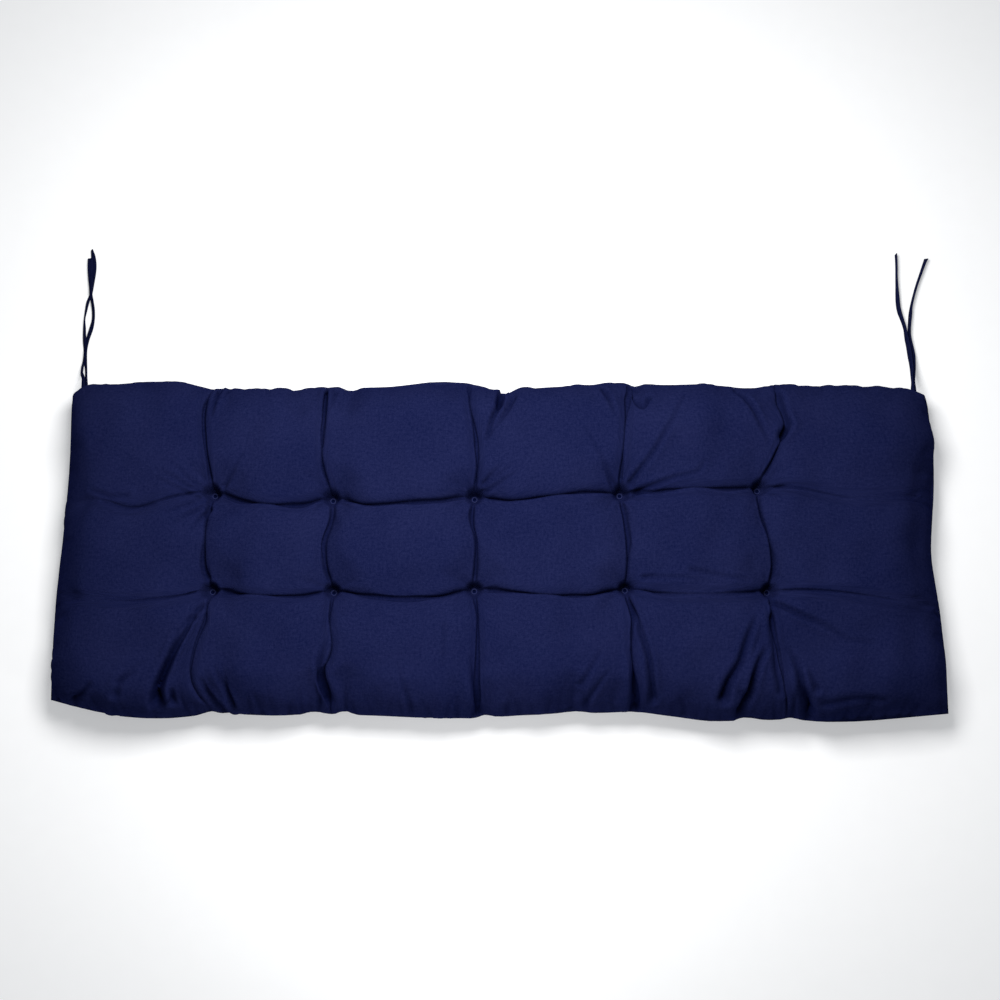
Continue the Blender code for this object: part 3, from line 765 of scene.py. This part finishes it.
def route_distance(x, y, route):
    """Distance of places from a route of points, and the share of the way along it."""
    lengths = [math.dist(a, b) for a, b in zip(route, route[1:])]
    total = sum(lengths)
    best = np.full_like(x, np.inf)
    share = np.zeros_like(x)
    done = 0.0
    for (x1, y1), (x2, y2), length in zip(route, route[1:], lengths):
        along = ((x - x1) * (x2 - x1) + (y - y1) * (y2 - y1)) / length ** 2
        along = np.clip(along, 0, 1)
        away = np.hypot(x - x1 - (x2 - x1) * along, y - y1 - (y2 - y1) * along)
        nearer = away < best
        best = np.where(nearer, away, best)
        share = np.where(nearer, (done + along * length) / total, share)
        done += length
    return best, share


def fold_relief(x, y):
    """Depth of the charted folds: a soft trough with a raised shoulder on each side."""
    relief = np.zeros_like(x)
    for half_width, start_depth, end_depth, *route in FOLDS:
        away, share = route_distance(x, y, route)
        depth = start_depth + (end_depth - start_depth) * share
        deepest = max(abs(start_depth), abs(end_depth))
        wide = half_width * (FOLD_NARROWEST + (1 - FOLD_NARROWEST) * np.abs(depth) / deepest)
        rounding = wide / FOLD_ROUNDING
        trough = np.exp(-(np.hypot(away, rounding) - rounding) / wide)
        from_shoulder = away - FOLD_SHOULDER_OFFSET * wide
        shoulder = np.exp(-(from_shoulder / (FOLD_SHOULDER_WIDTH * wide)) ** 2)
        raised = np.clip(depth, -FOLD_SHOULDER_DEPTH, FOLD_SHOULDER_DEPTH)
        relief += raised * FOLD_SHOULDER * shoulder - depth * trough
    return relief


def gather_routes():
    """Short gathers in the cloth, each with its depth, half width and route."""
    chance = random.Random(GATHER_SEED)
    gathers = []
    for x, y in TUFTS.values():
        turn = chance.uniform(0, math.tau)
        for number in range(TUFT_GATHERS):
            uneven = chance.uniform(-TUFT_GATHER_UNEVENNESS, TUFT_GATHER_UNEVENNESS)
            angle = turn + (number + uneven) / TUFT_GATHERS * math.tau
            route = [(x + math.cos(angle) * far, y + math.sin(angle) * far)
                     for far in (TUFT_GATHER_START, chance.uniform(*TUFT_GATHER_REACH))]
            gathers.append((chance.uniform(*TUFT_GATHER_DEPTH), TUFT_GATHER_WIDTH, route))
    for edge, runs_across, line, inward, fields, field_size in GATHERED_EDGES:
        place = SEAM_GATHER_MARGIN
        while place < fields - SEAM_GATHER_MARGIN:
            x, y = plan_place(place, line) if runs_across else plan_place(line, place)
            reach = chance.uniform(*SEAM_GATHER_REACH)
            lean = chance.uniform(-SEAM_GATHER_LEAN, SEAM_GATHER_LEAN) * reach
            move_x, move_y = (lean, inward * reach) if runs_across else (inward * reach, lean)
            route = [(float(x), float(y)), (float(x) + move_x, float(y) + move_y)]
            gathers.append((chance.uniform(*SEAM_GATHER_DEPTH[edge]), SEAM_GATHER_WIDTH, route))
            place += chance.uniform(*SEAM_GATHER_SPACING) / field_size
    return gathers


def gather_relief(x, y):
    """Depth of the short gathers, which fade along their way."""
    relief = np.zeros_like(x)
    for depth, half_width, route in gather_routes():
        low = np.min(route, axis=0) - GATHER_NEAR * half_width
        high = np.max(route, axis=0) + GATHER_NEAR * half_width
        near = (x > low[0]) & (x < high[0]) & (y > low[1]) & (y < high[1])
        away, share = route_distance(x[near], y[near], route)
        relief[near] -= depth * np.exp(-(away / half_width) ** 2) * (1 - share) ** GATHER_FADING
    return relief


def lump_relief(x, y):
    """Slow unevenness of the filling, as a sum of waves in many directions."""
    chance = random.Random(LUMP_SEED)
    relief = np.zeros_like(x)
    for length, height in LUMPS:
        for _ in range(LUMP_WAVES):
            angle = chance.uniform(0, math.pi)
            wave = math.tau / (length * chance.uniform(*LUMP_VARIATION))
            shift = chance.uniform(0, math.tau)
            along = x * math.cos(angle) + y * math.sin(angle)
            relief += height / math.sqrt(LUMP_WAVES) * np.sin(along * wave + shift)
    return relief


class Wire:
    """A node's output, so that a finish's maths reads as plain expressions."""

    def __init__(self, finish, socket):
        self.finish = finish
        self.socket = socket

    def maths(self, operation, *values):
        """Adds a Math node on the values or wires."""
        inputs = dict(enumerate(values))
        return self.finish.node("ShaderNodeMath", {"operation": operation}, inputs)

    def __add__(self, other):
        return self.maths("ADD", self, other)

    def __radd__(self, other):
        return self.maths("ADD", other, self)

    def __sub__(self, other):
        return self.maths("SUBTRACT", self, other)

    def __rsub__(self, other):
        return self.maths("SUBTRACT", other, self)

    def __mul__(self, other):
        return self.maths("MULTIPLY", self, other)

    def __rmul__(self, other):
        return self.maths("MULTIPLY", other, self)

    def sine(self):
        return self.maths("SINE", self)


class Finish:
    """A finish on a Principled shader, built node by node."""

    def __init__(self, name, **constants):
        self.material = bpy.data.materials.new(name)
        self.material.use_nodes = True
        self.tree = self.material.node_tree
        self.shader = self.tree.nodes["Principled BSDF"]
        for socket, value in constants.items():
            self.shader.inputs[socket.replace("_", " ")].default_value = value

    def feed(self, socket, value):
        """Links a wire to a socket, or sets a plain value on it."""
        if isinstance(value, Wire):
            self.tree.links.new(value.socket, socket)
        else:
            socket.default_value = value

    def node(self, kind, settings=None, inputs=None, output=0):
        """Adds a node: its settings first, then the values or links of its sockets."""
        made = self.tree.nodes.new(kind)
        for name, value in (settings or {}).items():
            setattr(made, name, value)
        for name, value in (inputs or {}).items():
            self.feed(made.inputs[name], value)
        return Wire(self, made.outputs[output])

    def laid_flat(self):
        """The place on the cloth as it was cut, in metres, and its two coordinates."""
        cut = self.node("ShaderNodeUVMap", {"uv_map": "cloth"})
        parts = self.node("ShaderNodeSeparateXYZ", inputs={0: cut})
        node = parts.socket.node
        return cut, Wire(self, node.outputs["X"]), Wire(self, node.outputs["Y"])

    def noise(self, place, scale, stretch=(1, 1, 1), detail=2.0):
        """Noise over a place, with its own scale along each axis."""
        mapped = self.node("ShaderNodeMapping", {"vector_type": "POINT"},
                           {"Vector": place, "Scale": stretch})
        return self.node("ShaderNodeTexNoise", {"noise_dimensions": "3D"},
                         {"Vector": mapped, "Scale": scale, "Detail": detail})

    def blend(self, factor, first, second):
        """A colour between two, by a factor that varies over the cloth."""
        return self.node("ShaderNodeMix", {"data_type": "RGBA"},
                         {0: factor, 6: first, 7: second}, output=2)

    def bump(self, height):
        """A bump from a height in metres."""
        return self.node("ShaderNodeBump", None,
                         {"Strength": 1.0, "Distance": 1.0, "Height": height})

    def finish(self, colour, roughness, normal):
        """Feeds what varies over the surface to the shader."""
        self.feed(self.shader.inputs["Base Color"], colour)
        self.feed(self.shader.inputs["Roughness"], roughness)
        self.feed(self.shader.inputs["Normal"], normal)
        return self.material


def woven_finish(name, dark, light, deep, thread, sheen):
    """Plain-woven polyester: crossing threads, uneven yarn, slow patches of shade, painted shade in
    folds.
    """
    finish = Finish(name, Specular_IOR_Level=0.0, Sheen_Weight=sheen, Sheen_Roughness=0.35,
                    Sheen_Tint=SHEEN_TINT)
    cut, across, along = finish.laid_flat()
    over = (across * (math.pi / thread)).sine() * (along * (math.pi / thread)).sine()
    length, width, flat = YARN_SCALE
    weft = finish.noise(cut, 1.0, (length, width, flat))
    warp = finish.noise(cut, 1.0, (width, length, flat))
    patches = finish.noise(cut, PATCH_SCALE, detail=4.0)
    lint = finish.noise(cut, LINT_SCALE, detail=1.0)
    crumple = finish.noise(cut, CRUMPLE_SCALE, detail=3.0)
    yarn = (weft + warp) * 0.5
    grain = finish.noise(cut, GRAIN_SCALE, detail=1.0)
    shade = (yarn * YARN_SHADE + patches * PATCH_SHADE + lint * LINT_SHADE
             + grain * GRAIN_SHADE + over * WEAVE_SHADE)
    faded = finish.blend(shade * SHADE_CONTRAST - SHADE_OFFSET, dark, light)
    # Painted shade: the colour darkens towards the shade colour by how far the cloth is pressed into
    # a fold or crease
    pressed = finish.node("ShaderNodeAttribute", {"attribute_name": PAINTED_SHADE_MASK}, output=2)
    colour = finish.blend(pressed * PAINTED_SHADE_MOST, faded, deep)
    roughness = CLOTH_ROUGHNESS + yarn * YARN_ROUGHNESS
    weave_relief = over * WEAVE_HEIGHT + yarn * YARN_HEIGHT
    relief = weave_relief + lint * LINT_HEIGHT + crumple * CRUMPLE_HEIGHT
    return finish.finish(colour, roughness, finish.bump(relief))


def thread_finish(name, dark, light):
    """Twisted thread with a soft lustre."""
    finish = Finish(name, Specular_IOR_Level=0.10, Sheen_Weight=0.01, Sheen_Roughness=0.4)
    cut, around, along = finish.laid_flat()
    twist = ((around * TWIST_LEAN + along) * TWIST_SCALE).sine()
    fuzz = finish.noise(cut, FUZZ_SCALE)
    colour = finish.blend(twist * 0.25 + fuzz * 0.5 + 0.25, dark, light)
    roughness = THREAD_ROUGHNESS + fuzz * FUZZ_ROUGHNESS
    return finish.finish(colour, roughness, finish.bump(twist * TWIST_HEIGHT))


def floor_finish():
    """Pale paper that glows a little, so that its far parts stay white."""
    finish = Finish("floor", Specular_IOR_Level=0.1, Emission_Color=(1, 1, 1, 1),
                    Emission_Strength=FLOOR_GLOW)
    place = finish.node("ShaderNodeTexCoord", output=3)
    grain = finish.noise(place, FLOOR_GRAIN_SCALE)
    colour = finish.blend(grain, FLOOR_DARK, FLOOR_LIGHT)
    roughness = FLOOR_ROUGHNESS + grain * FLOOR_GRAIN_ROUGHNESS
    return finish.finish(colour, roughness, finish.bump(grain * FLOOR_GRAIN_HEIGHT))


def link_piece(name, mesh, material):
    """Puts a mesh in the scene as a piece that rides on the cushion's one body.

    A mesh that already has its materials keeps them."""
    if not mesh.materials:
        mesh.materials.append(material)
    mesh.shade_smooth()
    piece = bpy.data.objects.new(name, mesh)
    bpy.context.scene.collection.objects.link(piece)
    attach(piece, "root")
    return piece


def tie_route(name):
    """Ring centres of a strand, with its turn from flat at each."""
    root_x, behind, root_turn = TIE_ROOTS[name]
    columns = list(zip((root_x, back_seam_y(root_x) + behind, SEAM_HEIGHT, root_turn), *TIES[name]))
    places = np.linspace(0, len(TIES[name]), TIE_RINGS)
    x, y, z, turn = (smooth_between(column, places) for column in columns)
    return np.stack((x, y, z), axis=1), np.radians(turn)


def back_seam_y(x):
    """Y of the back seam at a given X."""
    places = np.linspace(0, FIELDS_ACROSS, SEAM_SAMPLES)
    seam_x, seam_y = plan_place(places, np.full_like(places, FIELDS_DEEP))
    return float(np.interp(x, seam_x, seam_y))


def ribbon_frames(centres, turns):
    """Direction along, across and out of the face of a strand at each ring."""
    along = np.gradient(centres, axis=0)
    along /= np.linalg.norm(along, axis=1)[:, None]
    level = np.cross(along, (0, 0, 1))
    level /= np.linalg.norm(level, axis=1)[:, None]
    lift = np.cross(level, along)
    across = level * np.cos(turns)[:, None] + lift * np.sin(turns)[:, None]
    return along, across, np.cross(across, along)


def ribbon_section():
    """Section of a strand: cloth folded in from both sides, fuller at its two edges."""
    lower = [(width, -height) for width, height in reversed(RIBBON_UPPER[1:-1])]
    return [(width * TIE_WIDTH / 2, height * TIE_THICKNESS / 2)
            for width, height in (*RIBBON_UPPER, *lower)]


def run_along(centres):
    """Distance along a strand to each of its rings."""
    steps = np.linalg.norm(np.diff(centres, axis=0), axis=1)
    return np.concatenate(([0], np.cumsum(steps)))


def made_mesh(name, body):
    """The mesh of a finished body, with its faces turned outwards."""
    bmesh.ops.recalc_face_normals(body, faces=body.faces)
    mesh = bpy.data.meshes.new(name)
    body.to_mesh(mesh)
    body.free()
    return mesh


def ribbon_mesh(name, centres, frames):
    """A strand as rings of its section swept along its route, closed at both ends."""
    _, across, out = frames
    section = ribbon_section()
    body = bmesh.new()
    cut = body.loops.layers.uv.new("cloth")
    run = run_along(centres)
    rings = []
    for centre, wide, face in zip(centres, across, out):
        rings.append([body.verts.new(centre + wide * w + face * t) for w, t in section])
    count = len(section)
    for ring in range(len(rings) - 1):
        for corner in range(count):
            following = (corner + 1) % count
            quad = ((ring, corner), (ring, following), (ring + 1, following), (ring + 1, corner))
            face = body.faces.new([rings[i][j] for i, j in quad])
            for loop, (i, j) in zip(face.loops, quad):
                loop[cut].uv = (section[j][0], run[i])
    body.faces.new(rings[0])
    body.faces.new(list(reversed(rings[-1])))
    return made_mesh(name, body)


def stitch_mesh(name, centres, frames):
    """The row of machine stitches that closes a strand, seen on both of its faces."""
    along, across, out = frames
    run = run_along(centres)
    body = bmesh.new()
    body.loops.layers.uv.new("cloth")
    place = STITCH_PITCH
    while place < run[-1] - STITCH_PITCH:
        at = [np.interp(place, run, values) for values in centres.T]
        ring = int(np.searchsorted(run, place))
        for side in (1, -1):
            middle = (Vector(at) + Vector(across[ring]) * (TIE_WIDTH * STITCH_ACROSS)
                      + Vector(out[ring]) * (side * TIE_THICKNESS * STITCH_OUT))
            turn = Matrix((across[ring], along[ring], out[ring] * side)).transposed().to_4x4()
            size = Matrix.Diagonal((STITCH_THICKNESS, STITCH_LENGTH, STITCH_THICKNESS, 1))
            bmesh.ops.create_uvsphere(body, u_segments=6, v_segments=5, radius=0.5,
                                      matrix=Matrix.Translation(middle) @ turn @ size)
        place += STITCH_PITCH
    return made_mesh(name, body)


def build_ties(cloth, thread):
    """The four flat strands, which lie free behind the cushion."""
    for name in TIES:
        centres, turns = tie_route(name)
        frames = ribbon_frames(centres, turns)
        strand = link_piece(name.replace("tie", "ribbon"), ribbon_mesh(name, centres, frames),
                            cloth)
        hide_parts(name)
        stitches = link_piece(name.replace("tie", "stitches"),
                              stitch_mesh(name, centres, frames), thread)


def panel(body, quads, height_at, upper):
    """One panel of the cover as a grid, each point marked with its place in fields."""
    stations_u = field_stations(FIELDS_ACROSS, quads[0])
    stations_v = field_stations(FIELDS_DEEP, quads[1])
    u, v = np.meshgrid(stations_u, stations_v, indexing="ij")
    x, y = plan_place(u, v)
    places = np.stack((x, y, height_at(u, v, x, y)), axis=2)
    run_u = np.linalg.norm(np.diff(places, axis=0, prepend=places[:1]), axis=2).cumsum(axis=0)
    run_v = np.linalg.norm(np.diff(places, axis=1, prepend=places[:, :1]), axis=2).cumsum(axis=1)
    last = (len(stations_u) - 1, len(stations_v) - 1)
    grid = bmesh.ops.create_grid(body, x_segments=last[0], y_segments=last[1], size=1)
    marks = [body.verts.layers.float[name] for name in MARKS]
    cut = {}
    for vert in grid["verts"]:
        i = round((vert.co.x + 1) / 2 * last[0])
        j = round((vert.co.y + 1) / 2 * last[1])
        vert.co = places[i, j]
        for mark, value in zip(marks, (upper, u[i, j], v[i, j])):
            vert[mark] = value
        cut[vert] = (run_u[i, j] - run_u[-1, j] / 2, run_v[i, j] - run_v[i, -1] / 2)
    return cut


def cover_mesh():
    """Both panels sewn together round the edge, as closed cloth."""
    body = bmesh.new()
    layer = body.loops.layers.uv.new("cloth")
    for name in MARKS:
        body.verts.layers.float.new(name)
    cut = panel(body, UPPER_QUADS, top_heights, 1.0)
    cut.update(panel(body, LOWER_QUADS, underside_heights, 0.0))
    rims = [edge for edge in body.edges if edge.is_boundary]
    bmesh.ops.bridge_loops(body, edges=rims)
    for face in body.faces:
        for loop in face.loops:
            loop[layer].uv = cut[loop.vert]
    return made_mesh("cover", body)


def point_array(mesh, name="co"):
    """The places of a mesh's points, or another of their vectors."""
    values = np.empty(len(mesh.vertices) * 3)
    mesh.vertices.foreach_get(name, values)
    return values.reshape(-1, 3)


def marked(mesh, name):
    """The value of a mark at each point of a mesh."""
    values = np.empty(len(mesh.vertices))
    mesh.attributes[name].data.foreach_get("value", values)
    return values


def swell(piece):
    """Lets the pressure of the filling settle the cover, and caps how far it moves."""
    before = point_array(piece.data)
    upper = marked(piece.data, "upper")
    held = piece.vertex_groups.new(name="held")
    from_tuft = tuft_distance(before[:, 0], before[:, 1])
    low = before[:, 2] < SEAM_HEIGHT + SEAM_THICKNESS * HELD_AT_SEAM
    fixed = np.nonzero((upper < 0.5) | low | (from_tuft < TUFT_PAD_RADIUS * HELD_AT_TUFT))[0]
    held.add([int(index) for index in fixed], 1.0, "REPLACE")
    cloth = piece.modifiers.new("swell", "CLOTH")
    for setting, value in SWELL_CLOTH.items():
        setattr(cloth.settings, setting, value)
    cloth.settings.effector_weights.gravity = 0
    cloth.settings.vertex_group_mass = "held"
    cloth.point_cache.frame_end = SWELL_FRAMES
    scene = bpy.context.scene
    for number in range(1, SWELL_FRAMES + 1):
        scene.frame_set(number)
    seen = piece.evaluated_get(bpy.context.evaluated_depsgraph_get())
    after = point_array(seen.data)
    scene.frame_set(1)
    piece.modifiers.remove(cloth)
    piece.vertex_groups.clear()
    moves = after - before
    sizes = np.linalg.norm(moves, axis=1)
    moves *= (np.minimum(sizes, SWELL_CAP) / np.maximum(sizes, 1e-9))[:, None]
    piece.data.vertices.foreach_set("co", (before + moves).ravel())
    piece.data.update()


def refine(piece):
    """One subdivision, kept as the piece's own mesh."""
    finer = piece.modifiers.new("finer", "SUBSURF")
    finer.levels = finer.render_levels = 1
    seen = piece.evaluated_get(bpy.context.evaluated_depsgraph_get())
    mesh = bpy.data.meshes.new_from_object(seen)
    piece.modifiers.remove(finer)
    piece.data = mesh


def press_relief(piece):
    """Presses the creases straight down, the folds and lumps along the normals, and keeps the mask
    of painted shade.
    """
    mesh = piece.data
    places = point_array(mesh)
    normals = point_array(mesh, "normal")
    upper, u, v = (marked(mesh, name) for name in MARKS)
    x, y = plan_place(u, v)
    from_seam = np.clip((places[:, 2] - SEAM_HEIGHT) / RELIEF_START, 0, 1) * upper
    beyond_pad = np.clip(tuft_distance(x, y) - TUFT_PAD_RADIUS, 0, None)
    come_in = np.clip(beyond_pad / TUFT_FUNNEL_RADIUS, 0, 1) * from_seam
    folds = (fold_relief(x, y) + gather_relief(x, y)) * come_in
    creases = crease_relief(u, v, x, y) * np.clip(beyond_pad / CREASE_START, 0, 1) * from_seam
    places += normals * (folds + lump_relief(x, y) * come_in)[:, None]
    places[:, 2] += creases
    mesh.vertices.foreach_set("co", places.ravel())
    # Mask of painted shade: how far each place is pressed into a fold or crease, weaker near a
    # tuft's pad
    pressed = mesh.attributes.new(PAINTED_SHADE_MASK, "FLOAT", "POINT")
    depth = np.clip(-folds, 0, None) + np.clip(-creases, 0, None)
    depth *= np.clip(beyond_pad / PAINTED_SHADE_START, PAINTED_SHADE_AT_PAD, 1)
    pressed.data.foreach_set("value", depth / (depth + PAINTED_SHADE_HALF_DEPTH))
    mesh.update()


def build_cover(cloth):
    """The cover with its filling: swollen, made finer, then creased and folded."""
    cover = link_piece("cover", cover_mesh(), cloth)
    swell(cover)
    refine(cover)
    press_relief(cover)
    cover.data.shade_smooth()
    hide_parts("cushion")


def tack_mesh():
    """A ring of close thread wraps round a low, flat middle of cloth."""
    body = bmesh.new()
    cut = body.loops.layers.uv.new("cloth")
    steps_round = TACK_WRAPS * TACK_STEPS_A_WRAP
    middle = TACK_RADIUS - TACK_THREAD
    rings = []
    for step in range(steps_round):
        angle = step / steps_round * math.tau
        wrap = 1 - TACK_WAIST + TACK_WAIST * abs(math.sin(angle * TACK_WRAPS / 2))
        ring = []
        for over in range(TACK_STEPS_OVER):
            roll = over / TACK_STEPS_OVER * math.tau
            far = middle + math.cos(roll) * TACK_THREAD * wrap
            height = TACK_THREAD * TACK_FLATNESS * (1 + math.sin(roll) * wrap)
            ring.append(body.verts.new((math.cos(angle) * far, math.sin(angle) * far, height)))
        rings.append(ring)
    for step in range(steps_round):
        for over in range(TACK_STEPS_OVER):
            corners = ((step, over), (step + 1, over), (step + 1, over + 1), (step, over + 1))
            verts = [rings[i % steps_round][j % TACK_STEPS_OVER] for i, j in corners]
            face = body.faces.new(verts)
            for loop, (i, j) in zip(face.loops, corners):
                loop[cut].uv = (i / steps_round * middle * math.tau,
                                j / TACK_STEPS_OVER * TACK_WRAP_LENGTH)
    dish = bmesh.ops.create_circle(body, cap_ends=True, segments=TACK_DISH_SIDES, radius=middle,
                                   matrix=Matrix.Translation((0, 0, TACK_DISH)))
    for face in {face for vert in dish["verts"] for face in vert.link_faces}:
        face.material_index = 1
        for loop in face.loops:
            loop[cut].uv = loop.vert.co.xy
    return made_mesh("tack_ring", body)


def build_tacks(thread, cloth):
    """The ten round tacks, each in its pit."""
    ring = tack_mesh()
    ring.materials.append(thread)
    # The middle of each tack takes the cloth with painted shade
    ring.materials.append(cloth)
    for place_name, (x, y) in TUFTS.items():
        tack = link_piece(f"thread_ring_{place_name}", ring, thread)
        tack.location = (x, y, TUFT_HEIGHT + GAP)
        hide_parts(f"tack_{place_name}")


def build_camera():
    """The camera in front of the cushion and high above it, as in the photograph."""
    data = bpy.data.cameras.new("camera")
    data.lens = CAMERA_LENS
    data.sensor_width = CAMERA_SENSOR
    camera = bpy.data.objects.new("camera", data)
    tilt = math.radians(CAMERA_ELEVATION)
    back = Vector((0, -math.cos(tilt), math.sin(tilt)))
    camera.location = Vector(CAMERA_AIM) + back * CAMERA_DISTANCE
    camera.rotation_euler = (math.radians(90) - tilt, 0, 0)
    bpy.context.scene.collection.objects.link(camera)
    bpy.context.scene.camera = camera


def add_light(name, place, aim, width, depth, power):
    """A soft rectangular light that points at a place."""
    data = bpy.data.lights.new(name, "AREA")
    data.shape = "RECTANGLE"
    data.size = width
    data.size_y = depth
    data.energy = power
    light = bpy.data.objects.new(name, data)
    light.location = place
    light.rotation_euler = (Vector(aim) - Vector(place)).to_track_quat("-Z", "Y").to_euler()
    bpy.context.scene.collection.objects.link(light)


def build_studio():
    """Pale floor, soft light from above and behind, and a little from the front and all round."""
    body = bmesh.new()
    bmesh.ops.create_grid(body, x_segments=1, y_segments=1, size=FLOOR_HALF_SIZE)
    mesh = bpy.data.meshes.new("floor")
    body.to_mesh(mesh)
    body.free()
    mesh.materials.append(floor_finish())
    floor = bpy.data.objects.new("floor", mesh)
    floor.location = (0, 0, FLOOR_Z)
    bpy.context.scene.collection.objects.link(floor)
    for name, (place, aim, width, depth, power) in LIGHTS.items():
        add_light(name, place, aim, width, depth, power)
    world = bpy.data.worlds.new("studio")
    world.use_nodes = True
    sky = world.node_tree.nodes["Background"]
    sky.inputs["Color"].default_value = SKY_COLOUR
    sky.inputs["Strength"].default_value = SKY_STRENGTH
    bpy.context.scene.world = world
    bpy.context.scene.view_settings.view_transform = "Standard"


def main():
    """The cushion with its ties and tacks, in the studio."""
    build_camera()
    cover_cloth = woven_finish("cover", COVER_DARK, COVER_LIGHT, PAINTED_SHADE_NAVY, COVER_WEAVE, SHEEN)
    tie_cloth = woven_finish("tie", TIE_DARK, TIE_LIGHT, PAINTED_SHADE_NAVY, TIE_WEAVE, SHEEN)
    # Painted shade: the cloth in the middle of each tack is given darker colours than the cover
    dish_painted_shade_cloth = woven_finish("dish", PAINTED_SHADE_NAVY, COVER_DARK, PAINTED_SHADE_NAVY, TIE_WEAVE, 0)
    thread = thread_finish("tack", THREAD_DARK, THREAD_LIGHT)
    build_ties(tie_cloth, thread)
    build_cover(cover_cloth)
    build_tacks(thread, dish_painted_shade_cloth)
    build_studio()


main()
